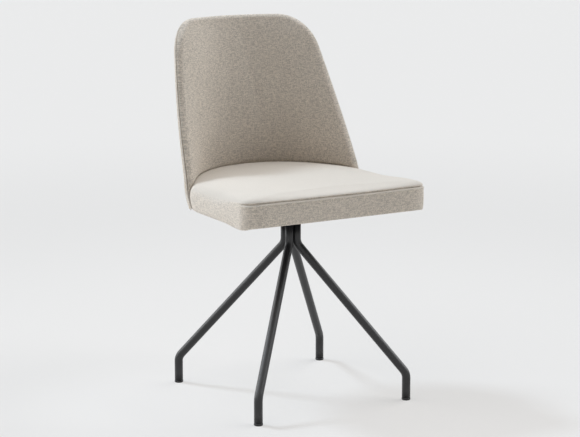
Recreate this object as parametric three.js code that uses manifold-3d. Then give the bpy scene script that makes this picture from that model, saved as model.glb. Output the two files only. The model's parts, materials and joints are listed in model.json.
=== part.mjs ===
// Swivel dining chair: an upholstered seat with a wrap-round back on a base of four bent tubes.
// Millimetres, +Z up, the sitter faces -Y. The origin is on the floor, on the swivel axis.
import * as THREE from 'three';
import { mergeVertices } from 'three/addons/utils/BufferGeometryUtils.js';
import Module from 'manifold-3d';

const wasm = await Module();
wasm.setup();

// Fits used all over the chair
const restGap = 0.3; // air between two pieces that rest on each other
const cutOverrun = 2; // how far a cutting solid runs past what it cuts
const fabricThickness = 1.2; // woven cover with its backing

// Leg tubes, one on each diagonal
const tubeDiameter = 18;
const tubeWall = 1.5;
const tubeBendRadius = 27; // on the centre line
const footCircleRadius = 254.2;
const footBendHeight = 57.8; // where the centre lines of the two straight stretches meet
const hubLength = 46.6; // from the upper bends to the tops of the tubes

// Foot glides
const glideHeight = 5; // the cap that shows under the tube
const glideDiameter = 18.8;
const glidePlugLength = 20;
const glideEdge = 1.2;

// Swivel: a spindle welded on the base turns in two flanged bushes
const basePlateDiameter = 56;
const basePlateThickness = 6;
const spindleDiameter = 20;
const spindleTailDiameter = 14;
const spindleCollarDiameter = 34;
const spindleCollarThickness = 3;
const spindleThreadDiameter = 10;
const threadRunOut = 2; // thread that stands past its nut
const bushWall = 4;
const bushFlangeThickness = 2;
const bushLength = 11;
const thrustWasherThickness = 1.5;
const housingWall = 5;
const retainerDiameter = 34;
const retainerThickness = 2.5;
const spindleNutWidth = 17;
const spindleNutHeight = 8;

// Mounting plate under the seat
const swivelHeight = 39; // from the tops of the leg tubes to the underside of the seat
const mountPlateSize = 176;
const mountPlateThickness = 3;
const mountPlateCorner = 18;
const mountBoltPitch = 140;
const mountBoltDiameter = 6;
const mountBoltHeadDiameter = 12;
const mountBoltHeadHeight = 3.4;
const teeNutFlangeDiameter = 19;
const teeNutFlangeThickness = 1.5;
const teeNutBarrelDiameter = 8;
const teeNutBarrelLength = 9;

// Seat cushion
const seatBottomHeight = 413.4;
const seatThickness = 56.5; // where the cushion meets the back
const seatCrown = 6;
const seatFrontLift = 4.8; // the front edge stands this much over the rear one
const seatHalfWidth = 217.7;
const seatFrontReach = 204.9; // from the swivel axis to the front face
const seatFrontCorner = 30;
const seatLeastCorner = 6; // the round left on what lies well inside the front corners
const seatSideBlend = 110; // radius between the straight side and the round rear
const seatSideRound = 22; // top edge of the cushion at its sides
const seatFrontRound = 7;
const seatRearRound = 12;
const seatSideTuck = 10; // bottom edge of the cushion at its sides
const seatFrontTuck = 7;
const seatRearTuck = 31;
const seatSideBulge = 1.5;
const seatSeamDepth = 1.4;
const seatSeamWidth = 3;
const seatFrontSteps = 3;
const seatCornerSteps = 3;
const seatBlendSteps = 2;
const seatRearSteps = 14;
const seatTuckSteps = 3;
const seatRoundSteps = 4;
const seatBoardThickness = 12;
const seatBoardMargin = 30; // from the edge of the cushion to the edge of the board
const coverFoldWidth = 42; // how far the cover runs in under the board
const nutWellDiameter = 48;
const dustClothThickness = 0.9;

// Back
const backSideRoom = 15.3; // from the side of the cushion to the rear face beside it
const backRadiusGainShare = 0.065; // more plan radius for each millimetre of height
const backRearReach = 215.4; // from the swivel axis to the rear face at the seat
const backRakeAngle = THREE.MathUtils.degToRad(11.06);
const backRakeBlend = 20; // height over which the rake sets in
const backRise = 319.1; // from the top of the cushion to the top of the back
const backDrop = 2; // how far the back hangs under the cushion
const backHalfGirth = 275.1; // half the rear face at the seat, measured along the curve
const backTaperShare = 0.287;
const backTopCorner = 95;
const backBottomCorner = 20;
const backThickness = 18;
const backCrown = 7;
const backSeamDepth = 6; // from the rear face to the seam between the two covers
const backShellThickness = 5.7;
const backPadFoot = 18; // the pad ends this far under the top of the seat

// Brackets between the back shell and the seat board
const bracketWidth = 30;
const bracketThickness = 2;
const bracketRise = 14;
const bracketReach = 74;
const bracketAngleList = [90, 50, 130].map(THREE.MathUtils.degToRad);
const bracketNameList = ['rear', 'right', 'left'];
const bracketScrewDiameter = 4;
const bracketScrewHeadDiameter = 7;
const bracketScrewHeadHeight = 1.6;
const bracketScrewPitch = 16;
const bracketEndMargin = 9;
const boardScrewGrip = 9; // length of a screw in the wood
const shellScrewGripShare = 0.65; // how much of the shell a screw goes into

// How finely the curved faces are cut
const tubeSides = 16;
const boreSides = 10;
const bendSteps = 4;
const turnedSides = 20;
const smallSides = 8;
const backColumns = 16;
const backRimSteps = 4;
const backSideSteps = 4;
const backBottomSteps = 2;
const backTopSteps = 5;
const halfTurn = Math.PI;
const quarterTurn = halfTurn / 2;

// Levels that follow from the sizes above
const seatTopHeight = seatBottomHeight + seatThickness;
const backTopHeight = seatTopHeight + backRise;
const backBottomHeight = seatBottomHeight - backDrop;
const legTopHeight = seatBottomHeight - swivelHeight;
const hubBendHeight = legTopHeight - hubLength;
const backEdgeRadius = backThickness / 2;
const boardUnderside = seatBottomHeight + fabricThickness + restGap;
const boardTopHeight = boardUnderside + seatBoardThickness;
const mountPlateTop = boardUnderside - restGap;
const mountPlateUnderside = mountPlateTop - mountPlateThickness;
const basePlateUnderside = legTopHeight + restGap;
const basePlateTop = basePlateUnderside + basePlateThickness;
const collarTop = basePlateTop + restGap + spindleCollarThickness;
const thrustWasherTop = collarTop + restGap + thrustWasherThickness;
const lowerBushFoot = thrustWasherTop + restGap;
const housingFoot = lowerBushFoot + bushFlangeThickness + restGap;
const upperBushTop = mountPlateTop + restGap + bushFlangeThickness;
const retainerFoot = upperBushTop + restGap;
const spindleNutFoot = retainerFoot + retainerThickness + restGap;
const spindleTop = spindleNutFoot + spindleNutHeight + threadRunOut;
const bracketTop = seatBottomHeight - restGap;
const bracketFoot = bracketTop - bracketThickness;

// Radii that follow
const backOuterRadius = seatHalfWidth + backSideRoom; // of the rear face, seen from above
const tubeRadius = tubeDiameter / 2;
const boreRadius = tubeRadius - tubeWall;
const bundleRadius = (tubeDiameter + restGap) / Math.SQRT2; // four tubes side by side round the axis
const spindleRadius = spindleDiameter / 2;
const bushBore = spindleRadius + restGap;
const bushRadius = bushBore + bushWall;
const housingBore = bushRadius + restGap;
const housingRadius = housingBore + housingWall;
const seatRearCentre = backRearReach - backOuterRadius;
const shellInnerDepth = fabricThickness + restGap + backShellThickness;
const shellFacetShare = Math.cos(backHalfGirth / backColumns / backOuterRadius); // flats to corners
const shellInnerRadius = (backOuterRadius - shellInnerDepth) * shellFacetShare;
const bracketFaceRadius = shellInnerRadius - restGap;
const seatRearRadius = shellInnerRadius - restGap;

function finish(colour, roughness, metalness) {
  return new THREE.MeshStandardMaterial({ color: colour, roughness, metalness });
}

// Every piece gets a material of its own
const finishes = {
  blackSteel: () => finish(0x1e1e20, 0.5, 0.6),
  zincSteel: () => finish(0xb4b6b8, 0.35, 0.95),
  turnedSteel: () => finish(0x8f9294, 0.3, 0.95),
  glidePlastic: () => finish(0x161617, 0.55, 0),
  bushPlastic: () => finish(0xe6e2d6, 0.45, 0),
  plywood: () => finish(0xc9a877, 0.65, 0),
  foam: () => finish(0xe9e3c8, 0.95, 0),
  fabric: () => finish(0xcfc8bc, 0.95, 0),
  dustCloth: () => finish(0x202022, 0.95, 0),
};

function piece(name, geometry, finishName) {
  const mesh = new THREE.Mesh(geometry, finishes[finishName]());
  mesh.name = name;
  return mesh;
}

// Six times the volume, negative when the faces point inwards
function signedBulk(geometry) {
  const place = geometry.attributes.position;
  const index = geometry.index;
  const [a, b, c] = [new THREE.Vector3(), new THREE.Vector3(), new THREE.Vector3()];
  let bulk = 0;
  for (let i = 0; i < index.count; i += 3) {
    a.fromBufferAttribute(place, index.getX(i));
    b.fromBufferAttribute(place, index.getX(i + 1));
    c.fromBufferAttribute(place, index.getX(i + 2));
    bulk += a.dot(b.cross(c));
  }
  return bulk;
}

// One closed mesh with shared vertices and its faces pointing out
function closed(geometry) {
  const bare = geometry.clone();
  bare.deleteAttribute('normal');
  bare.deleteAttribute('uv');
  const merged = mergeVertices(bare);
  const corners = Array.from(merged.index.array);
  const whole = [];
  for (let i = 0; i < corners.length; i += 3) {
    const [a, b, c] = corners.slice(i, i + 3);
    if (a !== b && b !== c && c !== a) whole.push(a, b, c);
  }
  merged.setIndex(whole);
  if (signedBulk(merged) < 0) merged.setIndex(whole.reverse());
  merged.computeVertexNormals();
  return merged;
}

function solidFrom(geometry) {
  const shell = closed(geometry);
  const vertProperties = new Float32Array(shell.attributes.position.array);
  const triVerts = new Uint32Array(shell.index.array);
  return new wasm.Manifold(new wasm.Mesh({ numProp: 3, vertProperties, triVerts }));
}

function geometryFrom(solid) {
  const mesh = solid.getMesh();
  const geometry = new THREE.BufferGeometry();
  const places = new Float32Array(mesh.vertProperties);
  geometry.setAttribute('position', new THREE.BufferAttribute(places, 3));
  geometry.setIndex(Array.from(mesh.triVerts));
  geometry.computeVertexNormals();
  return geometry;
}

function without(geometry, ...cutters) {
  let solid = solidFrom(geometry);
  for (const cutter of cutters) solid = solid.subtract(solidFrom(cutter));
  return geometryFrom(solid);
}

function within(geometry, keeper) {
  return geometryFrom(solidFrom(geometry).intersect(solidFrom(keeper)));
}

function ringPoints(radius, sides) {
  return Array.from({ length: sides }, (_, i) => {
    const angle = (2 * halfTurn * i) / sides;
    return new THREE.Vector2(radius * Math.cos(angle), radius * Math.sin(angle));
  });
}

// The outline of a hole whose flats stay clear of a round piece of a given radius
function holePoints(radius, sides) {
  return ringPoints((radius + restGap) / Math.cos(halfTurn / sides), sides);
}

// A straight solid from a flat outline, standing from one height to another
function prism(points, low, high, holes = []) {
  const shape = new THREE.Shape(points);
  shape.holes = holes.map((hole) => new THREE.Path(hole));
  const geometry = new THREE.ExtrudeGeometry(shape, { depth: high - low, bevelEnabled: false });
  return geometry.translate(0, 0, low);
}

// A turned solid from radius and height pairs, closed on the axis or on itself
function turned(profile, sides = turnedSides) {
  const points = profile.map(([radius, height]) => new THREE.Vector2(radius, height));
  return closed(new THREE.LatheGeometry(points, sides).rotateX(quarterTurn));
}

function turnedRing(inner, outer, low, high, sides = turnedSides) {
  return turned([[inner, low], [outer, low], [outer, high], [inner, high], [inner, low]], sides);
}

function rod(radius, low, high, sides = turnedSides) {
  return prism(ringPoints(radius, sides), low, high);
}

// The centre line of a bent tube: straight runs joined by arcs, with its rings only at the bends
class BentLine extends THREE.Curve {
  constructor(corners, radius) {
    super();
    this.knots = [];
    this.knots.push(this.knot(corners[0], corners[1].clone().sub(corners[0])));
    for (let i = 1; i < corners.length - 1; i += 1) {
      this.addBend(corners[i - 1], corners[i], corners[i + 1], radius);
    }
    const end = corners[corners.length - 1];
    this.knots.push(this.knot(end, end.clone().sub(corners[corners.length - 2])));
  }

  knot(place, heading) {
    return { place: place.clone(), heading: heading.clone().normalize() };
  }

  addBend(before, corner, after, radius) {
    const arriving = corner.clone().sub(before).normalize();
    const leaving = after.clone().sub(corner).normalize();
    const turn = arriving.angleTo(leaving);
    const start = corner.clone().addScaledVector(arriving, -radius * Math.tan(turn / 2));
    const axis = arriving.clone().cross(leaving).normalize();
    const inward = axis.clone().cross(arriving);
    const centre = start.clone().addScaledVector(inward, radius);
    for (let step = 0; step <= bendSteps; step += 1) {
      const angle = (turn * step) / bendSteps;
      const arm = start.clone().sub(centre).applyAxisAngle(axis, angle);
      this.knots.push(this.knot(arm.add(centre), arriving.clone().applyAxisAngle(axis, angle)));
    }
  }

  between(share, key) {
    const along = share * (this.knots.length - 1);
    const low = Math.min(Math.round(along), this.knots.length - 1);
    return this.knots[low][key].clone();
  }

  getPoint(share) {
    return this.between(share, 'place');
  }

  getPointAt(share) {
    return this.between(share, 'place');
  }

  getTangentAt(share) {
    return this.between(share, 'heading');
  }
}

function legTube() {
  const corners = [
    new THREE.Vector3(footCircleRadius, 0, glideHeight + restGap),
    new THREE.Vector3(footCircleRadius, 0, footBendHeight),
    new THREE.Vector3(bundleRadius, 0, hubBendHeight),
    new THREE.Vector3(bundleRadius, 0, legTopHeight),
  ];
  const line = new BentLine(corners, tubeBendRadius);
  const section = new THREE.Shape(ringPoints(tubeRadius, tubeSides));
  section.holes.push(new THREE.Path(ringPoints(boreRadius, boreSides)));
  const steps = line.knots.length - 1;
  return closed(new THREE.ExtrudeGeometry(section, { steps, extrudePath: line, bevelEnabled: false }));
}

function footGlide() {
  const capRadius = glideDiameter / 2;
  const plugRadius = boreRadius * Math.cos(halfTurn / boreSides) - restGap;
  const plugTop = glideHeight + restGap + glidePlugLength;
  return turned([
    [0, 0],
    [capRadius - glideEdge, 0],
    [capRadius, glideEdge],
    [capRadius, glideHeight],
    [plugRadius, glideHeight],
    [plugRadius, plugTop - glideEdge],
    [plugRadius - glideEdge, plugTop],
    [0, plugTop],
  ], tubeSides).translate(footCircleRadius, 0, 0);
}

const chair = new THREE.Group();

const legPlaces = [
  ['front_right', -halfTurn / 4],
  ['rear_right', halfTurn / 4],
  ['rear_left', (3 * halfTurn) / 4],
  ['front_left', (5 * halfTurn) / 4],
];

for (const [place, angle] of legPlaces) {
  const corner = new THREE.Group();
  corner.rotation.z = angle;
  corner.add(piece(`leg_${place}`, legTube(), 'blackSteel'));
  corner.add(piece(`glide_${place}`, footGlide(), 'glidePlastic'));
  chair.add(corner);
}

function basePlate() {
  const bore = spindleTailDiameter / 2 + restGap;
  return turnedRing(bore, basePlateDiameter / 2, basePlateUnderside, basePlateTop);
}

function spindle() {
  const tail = spindleTailDiameter / 2;
  const thread = spindleThreadDiameter / 2;
  const collarFoot = basePlateTop + restGap;
  return turned([
    [0, basePlateUnderside],
    [tail, basePlateUnderside],
    [tail, collarFoot],
    [spindleCollarDiameter / 2, collarFoot],
    [spindleCollarDiameter / 2, collarTop],
    [spindleRadius, collarTop],
    [spindleRadius, upperBushTop],
    [thread, upperBushTop],
    [thread, spindleTop],
    [0, spindleTop],
  ]);
}

function flangedBush(flangeLow, flangeHigh, bodyLow, bodyHigh) {
  const flangeRadius = housingRadius - restGap;
  const body = turnedRing(bushBore, bushRadius, bodyLow, bodyHigh);
  const flange = turnedRing(bushBore, flangeRadius, flangeLow, flangeHigh);
  return geometryFrom(solidFrom(body).add(solidFrom(flange)));
}

function lowerBush() {
  const flangeTop = lowerBushFoot + bushFlangeThickness;
  return flangedBush(lowerBushFoot, flangeTop, lowerBushFoot, flangeTop + bushLength);
}

function upperBush() {
  const flangeFoot = upperBushTop - bushFlangeThickness;
  return flangedBush(flangeFoot, upperBushTop, flangeFoot - bushLength, upperBushTop);
}

function hexPoints(width) {
  return ringPoints(width / 2 / Math.cos(halfTurn / 6), 6);
}

function spindleNut() {
  const bore = holePoints(spindleThreadDiameter / 2, turnedSides);
  return prism(hexPoints(spindleNutWidth), spindleNutFoot, spindleNutFoot + spindleNutHeight, [bore]);
}

function roundedSquare(size, corner) {
  const reach = size / 2 - corner;
  const points = [];
  for (let quarter = 0; quarter < 4; quarter += 1) {
    for (let step = 0; step <= bendSteps; step += 1) {
      const angle = quarterTurn * (quarter + step / bendSteps);
      const turn = quarterTurn * quarter + quarterTurn / 2;
      const x = Math.sign(Math.cos(turn)) * reach + corner * Math.cos(angle);
      const y = Math.sign(Math.sin(turn)) * reach + corner * Math.sin(angle);
      points.push(new THREE.Vector2(x, y));
    }
  }
  return points;
}

const mountBoltPlaces = [
  ['front_right', 1, -1],
  ['rear_right', 1, 1],
  ['rear_left', -1, 1],
  ['front_left', -1, -1],
].map(([place, x, y]) => [place, (x * mountBoltPitch) / 2, (y * mountBoltPitch) / 2]);

function holesAt(places, radius, sides) {
  return places.map(([, x, y]) => {
    const centre = new THREE.Vector2(x, y);
    return holePoints(radius, sides).map((point) => point.add(centre));
  });
}

function mountPlate() {
  const holes = holesAt(mountBoltPlaces, mountBoltDiameter / 2, smallSides);
  holes.push(holePoints(housingRadius, turnedSides));
  return prism(roundedSquare(mountPlateSize, mountPlateCorner), mountPlateUnderside, mountPlateTop, holes);
}

function headedScrew(headRadius, headHeight, shankRadius, shankLength) {
  const edge = headHeight / 3;
  return turned([
    [0, -headHeight],
    [headRadius - edge, -headHeight],
    [headRadius, -headHeight + edge],
    [headRadius, 0],
    [shankRadius, 0],
    [shankRadius, shankLength],
    [0, shankLength],
  ], smallSides);
}

function mountBolt(x, y) {
  const length = boardTopHeight - mountPlateUnderside;
  const bolt = headedScrew(mountBoltHeadDiameter / 2, mountBoltHeadHeight, mountBoltDiameter / 2, length);
  return bolt.translate(x, y, mountPlateUnderside - restGap);
}

function teeNut(x, y) {
  const bore = (mountBoltDiameter / 2 + restGap) / Math.cos(halfTurn / smallSides);
  const barrel = teeNutBarrelDiameter / 2 + restGap;
  const flange = teeNutFlangeDiameter / 2;
  const foot = boardTopHeight - teeNutBarrelLength;
  const seat = boardTopHeight + restGap;
  const top = seat + teeNutFlangeThickness;
  const nut = turned([
    [bore, foot],
    [barrel, foot],
    [barrel, seat],
    [flange, seat],
    [flange, top],
    [bore, top],
    [bore, foot],
  ], smallSides);
  return nut.translate(x, y, 0);
}

chair.add(piece('base_top_plate', basePlate(), 'blackSteel'));
chair.add(piece('swivel_spindle', spindle(), 'turnedSteel'));

const seatGroup = new THREE.Group();
chair.add(seatGroup);

seatGroup.add(piece('thrust_washer', turnedRing(
  bushBore, spindleCollarDiameter / 2, collarTop + restGap, thrustWasherTop), 'bushPlastic'));
seatGroup.add(piece('lower_bush', lowerBush(), 'bushPlastic'));
seatGroup.add(piece('upper_bush', upperBush(), 'bushPlastic'));
seatGroup.add(piece('bearing_housing', turnedRing(
  housingBore, housingRadius, housingFoot, mountPlateTop), 'blackSteel'));
seatGroup.add(piece('seat_mount_plate', mountPlate(), 'blackSteel'));
chair.add(piece('retaining_washer', turnedRing(
  spindleThreadDiameter / 2 + restGap, retainerDiameter / 2,
  retainerFoot, retainerFoot + retainerThickness), 'zincSteel'));
chair.add(piece('spindle_nut', spindleNut(), 'zincSteel'));

for (const [place, x, y] of mountBoltPlaces) {
  seatGroup.add(piece(`mount_bolt_${place}`, mountBolt(x, y), 'zincSteel'));
  seatGroup.add(piece(`tee_nut_${place}`, teeNut(x, y), 'zincSteel'));
}

// Outline of the cushion seen from above, as points with their outward directions
function arcOfEdge(centreX, centreY, radius, from, to, steps) {
  return Array.from({ length: steps }, (_, i) => {
    const angle = from + ((to - from) * i) / steps;
    const out = new THREE.Vector2(Math.cos(angle), Math.sin(angle));
    return { at: new THREE.Vector2(centreX, centreY).addScaledVector(out, radius), out };
  });
}

function lineOfEdge(from, to, out, steps) {
  return Array.from({ length: steps }, (_, i) => ({ at: from.clone().lerp(to, i / steps), out }));
}

function seatEdge(inset = 0) {
  const halfWidth = seatHalfWidth - inset;
  const reach = seatFrontReach - inset;
  const corner = Math.max(seatFrontCorner - inset, seatLeastCorner);
  const blend = seatSideBlend - inset;
  const rear = seatRearRadius - inset;
  const cornerX = halfWidth - corner;
  const cornerY = corner - reach;
  const blendX = halfWidth - blend;
  const blendRise = Math.sqrt((rear - blend) ** 2 - blendX ** 2);
  const blendY = seatRearCentre + blendRise;
  const rearStart = Math.atan2(blendRise, blendX);
  const right = new THREE.Vector2(1, 0);
  const left = new THREE.Vector2(-1, 0);
  const front = new THREE.Vector2(0, -1);
  const sideFoot = new THREE.Vector2(halfWidth, cornerY);
  const sideTop = new THREE.Vector2(halfWidth, blendY);
  const frontLeft = new THREE.Vector2(-cornerX, -reach);
  const frontRight = new THREE.Vector2(cornerX, -reach);
  const mirrored = (point) => new THREE.Vector2(-point.x, point.y);
  return [
    ...lineOfEdge(frontLeft, frontRight, front, seatFrontSteps),
    ...arcOfEdge(cornerX, cornerY, corner, -quarterTurn, 0, seatCornerSteps),
    { at: sideFoot, out: right },
    ...arcOfEdge(blendX, blendY, blend, 0, rearStart, seatBlendSteps),
    ...arcOfEdge(0, seatRearCentre, rear, rearStart, halfTurn - rearStart, seatRearSteps),
    ...arcOfEdge(-blendX, blendY, blend, halfTurn - rearStart, halfTurn, seatBlendSteps),
    { at: mirrored(sideTop), out: left },
    ...arcOfEdge(-cornerX, cornerY, corner, halfTurn, 3 * quarterTurn, seatCornerSteps),
  ];
}

// The size that an edge of the cushion has where it faces a side, the front or the rear
function sizeTowards(out, side, front, rear) {
  const lengthwise = out.y < 0 ? front : rear;
  return side * out.x ** 2 + lengthwise * out.y ** 2;
}

// Inset and height of each ring of the cushion, from its underside to its crown
function seatProfile(out, skin) {
  const tuck = sizeTowards(out, seatSideTuck, seatFrontTuck, seatRearTuck);
  const round = sizeTowards(out, seatSideRound, seatFrontRound, seatRearRound);
  const bulge = out.y > 0 ? 0 : seatSideBulge;
  const seam = sizeTowards(out, 0, seatSeamDepth, 0);
  const low = seatBottomHeight + tuck;
  const high = seatTopHeight + sizeTowards(out, 0, seatFrontLift, 0) - round;
  const bottomArc = Array.from({ length: seatTuckSteps + 1 }, (_, i) => {
    const angle = (quarterTurn * i) / seatTuckSteps;
    return [tuck - (tuck - skin) * Math.sin(angle), low - (tuck - skin) * Math.cos(angle)];
  });
  const topArc = Array.from({ length: seatRoundSteps }, (_, i) => {
    const angle = (quarterTurn * (i + 1)) / seatRoundSteps;
    return [round - (round - skin) * Math.cos(angle), high + (round - skin) * Math.sin(angle)];
  });
  return [
    ...bottomArc,
    [skin - bulge, (low + high) / 2],
    [skin, high - seatSeamWidth / 2],
    [skin + seam, high],
    ...topArc,
  ];
}

// A closed skin over rings of points, fanned shut at both ends
function loft(rings, lowTip, highTip) {
  const count = rings[0].length;
  const places = [lowTip, ...rings.flat(), highTip];
  const faces = [];
  const at = (ring, i) => 1 + ring * count + (i % count);
  for (let i = 0; i < count; i += 1) {
    faces.push(0, at(0, i + 1), at(0, i));
    for (let ring = 0; ring < rings.length - 1; ring += 1) {
      faces.push(at(ring, i), at(ring, i + 1), at(ring + 1, i + 1));
      faces.push(at(ring, i), at(ring + 1, i + 1), at(ring + 1, i));
    }
    faces.push(at(rings.length - 1, i), at(rings.length - 1, i + 1), places.length - 1);
  }
  return meshOf(places, faces);
}

function meshOf(places, faces) {
  const geometry = new THREE.BufferGeometry();
  const numbers = places.flatMap((place) => [place.x, place.y, place.z]);
  geometry.setAttribute('position', new THREE.Float32BufferAttribute(numbers, 3));
  geometry.setIndex(faces);
  return closed(geometry);
}

const crownShareList = [0.93, 0.8, 0.6, 0.35];

function seatForm(skin) {
  const edge = seatEdge();
  const columns = edge.map(({ at, out }) => seatProfile(out, skin).map(([inset, height]) => {
    const spot = at.clone().addScaledVector(out, -inset);
    return new THREE.Vector3(spot.x, spot.y, height);
  }));
  const rings = columns[0].map((_, ring) => columns.map((column) => column[ring]));
  const rim = rings[rings.length - 1];
  const middle = new THREE.Vector3(0, 0, seatTopHeight - skin);
  for (const share of crownShareList) {
    rings.push(rim.map((spot) => {
      const inner = middle.clone().lerp(spot, share);
      inner.z += seatCrown * (1 - share ** 2);
      return inner;
    }));
  }
  const lowTip = new THREE.Vector3(0, 0, seatBottomHeight + skin);
  const highTip = new THREE.Vector3(0, 0, middle.z + seatCrown);
  return loft(rings, lowTip, highTip);
}

function seatOutline(inset) {
  return seatEdge(inset).map(({ at }) => at);
}

function seatCover() {
  const hollow = seatForm(fabricThickness);
  const low = seatBottomHeight - cutOverrun;
  const mouth = prism(seatOutline(coverFoldWidth), low, boardUnderside + cutOverrun);
  return without(seatForm(0), hollow, mouth);
}

function seatBoard() {
  const holes = holesAt(mountBoltPlaces, teeNutBarrelDiameter / 2 + restGap, smallSides);
  holes.push(ringPoints(nutWellDiameter / 2, turnedSides));
  const board = prism(seatOutline(seatBoardMargin), boardUnderside, boardTopHeight, holes);
  const pilotTop = boardUnderside + boardScrewGrip + restGap;
  return without(board, ...boardScrewHoles(boardUnderside - cutOverrun, pilotTop));
}

function seatFoam() {
  const boardSpace = seatOutline(seatBoardMargin - restGap);
  const pocket = prism(boardSpace, seatBottomHeight - cutOverrun, boardTopHeight + restGap);
  const nutTop = boardTopHeight + teeNutFlangeThickness + 2 * restGap;
  const wells = holesAt(mountBoltPlaces, teeNutFlangeDiameter / 2, smallSides)
    .map((well) => prism(well, boardTopHeight, nutTop));
  wells.push(rod(nutWellDiameter / 2, boardTopHeight, spindleTop + cutOverrun));
  return without(seatForm(fabricThickness + restGap), pocket, ...wells);
}

function dustCloth() {
  const mouth = roundedSquare(mountPlateSize + 2 * restGap, mountPlateCorner);
  const top = boardUnderside - restGap;
  const cloth = prism(seatOutline(coverFoldWidth + restGap), top - dustClothThickness, top, [mouth]);
  return without(cloth, ...boardScrewHoles(bracketFoot, boardUnderside));
}

// A bracket is made at the rightmost spot of the round rear and turned about its centre
function bracketPlaces() {
  return bracketAngleList.map((angle) => ({
    spin: (geometry) => geometry.rotateZ(angle).translate(0, seatRearCentre, 0),
  }));
}

function boardScrewHoles(low, high) {
  const hole = holePoints(bracketScrewDiameter / 2, smallSides);
  return bracketPlaces().flatMap(({ spin }) => boardScrewSpots().map((spot) => (
    spin(prism(hole, low, high).translate(spot.x, spot.y, 0)))));
}

function boardScrewSpots() {
  const first = bracketFaceRadius - bracketReach + bracketEndMargin;
  return [0, 1].map((step) => new THREE.Vector2(first + step * bracketScrewPitch, 0));
}

function shellScrewSpots() {
  const height = bracketTop + (bracketRise - bracketThickness) / 2;
  const halfPitch = bracketScrewPitch / 2;
  return [-halfPitch, halfPitch].map((y) => new THREE.Vector3(bracketFaceRadius, y, height));
}

function bracketArm() {
  const arm = new THREE.BoxGeometry(bracketReach, bracketWidth, bracketThickness);
  arm.translate(uprightFace - bracketReach / 2, 0, bracketFoot + bracketThickness / 2);
  const hole = holePoints(bracketScrewDiameter / 2, smallSides);
  const boardHoles = boardScrewSpots().map((spot) => (
    prism(hole, bracketFoot - cutOverrun, bracketTop + cutOverrun).translate(spot.x, spot.y, 0)));
  const shellHoles = shellScrewSpots().map((spot) => (
    prism(hole, -bracketThickness - cutOverrun, cutOverrun)
      .rotateY(quarterTurn).translate(uprightFace, spot.y, spot.z)));
  const joined = geometryFrom(solidFrom(arm).add(solidFrom(bracketUpright())));
  return without(joined, ...boardHoles, ...shellHoles);
}

// The upright of a bracket is flat, so it stands off the curve of the shell by its sag
const bracketSag = bracketFaceRadius - Math.sqrt(bracketFaceRadius ** 2 - (bracketWidth / 2) ** 2);
const uprightFace = bracketFaceRadius - bracketSag;

function bracketUpright() {
  const upright = new THREE.BoxGeometry(bracketThickness, bracketWidth, bracketRise);
  return upright.translate(uprightFace - bracketThickness / 2, 0, bracketFoot + bracketRise / 2);
}

const bracketScrewHead = [bracketScrewHeadDiameter / 2, bracketScrewHeadHeight];

function boardScrew(spot) {
  const length = boardUnderside + boardScrewGrip - bracketFoot - restGap;
  const screw = headedScrew(...bracketScrewHead, bracketScrewDiameter / 2, length);
  return screw.translate(spot.x, spot.y, bracketFoot - restGap);
}

function shellScrew(spot) {
  const length = bracketThickness + bracketSag + 2 * restGap + backShellThickness * shellScrewGripShare;
  const screw = headedScrew(...bracketScrewHead, bracketScrewDiameter / 2, length).rotateY(quarterTurn);
  return screw.translate(uprightFace - bracketThickness - restGap, spot.y, spot.z);
}

// The back is laid out flat, by girth along the curve and by height, and then wrapped
function backRadiusAt(height) {
  return backOuterRadius + backRadiusGainShare * Math.max(0, height - seatTopHeight);
}

function backReachAt(height) {
  const rise = height - seatTopHeight;
  const eased = (Math.sqrt(rise ** 2 + backRakeBlend ** 2) + rise) / 2;
  return backRearReach + Math.tan(backRakeAngle) * eased;
}

function backSpot(girth, height, depth) {
  const outer = backRadiusAt(height);
  const angle = girth / outer;
  const radius = outer - depth;
  const centre = backReachAt(height) - outer;
  return new THREE.Vector3(radius * Math.sin(angle), centre + radius * Math.cos(angle), height);
}

// The right-hand edge of the flat outline, drawn in by a margin, from the bottom to the top
function backSide(margin) {
  const slant = Math.atan(backTaperShare);
  const across = Math.sqrt(1 + backTaperShare ** 2);
  const edgeAt = (height) => backHalfGirth - backTaperShare * (height - seatTopHeight);
  const corner = (height, size, from, to, steps) => Array.from({ length: steps + 1 }, (_, i) => {
    const angle = from + ((to - from) * i) / steps;
    const out = new THREE.Vector2(Math.cos(angle), Math.sin(angle));
    const centre = new THREE.Vector2(edgeAt(height) - size * across, height);
    return { at: centre.addScaledVector(out, size - margin), out };
  });
  const lowHeight = backBottomHeight + backBottomCorner;
  const highHeight = backTopHeight - backTopCorner;
  const low = corner(lowHeight, backBottomCorner, -quarterTurn, slant, backBottomSteps);
  const high = corner(highHeight, backTopCorner, slant, quarterTurn, backTopSteps);
  const from = low[low.length - 1];
  const to = high[0];
  const side = Array.from({ length: backSideSteps - 1 }, (_, i) => (
    { at: from.at.clone().lerp(to.at, (i + 1) / backSideSteps), out: from.out.clone() }));
  return [...low, ...side, ...high];
}

function crownAt(across, height) {
  const share = Math.min(1, Math.max(0, (height - seatTopHeight) / (backTopHeight - seatTopHeight)));
  return backCrown * Math.sin(halfTurn * share) * (1 - across ** 2);
}

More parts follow.
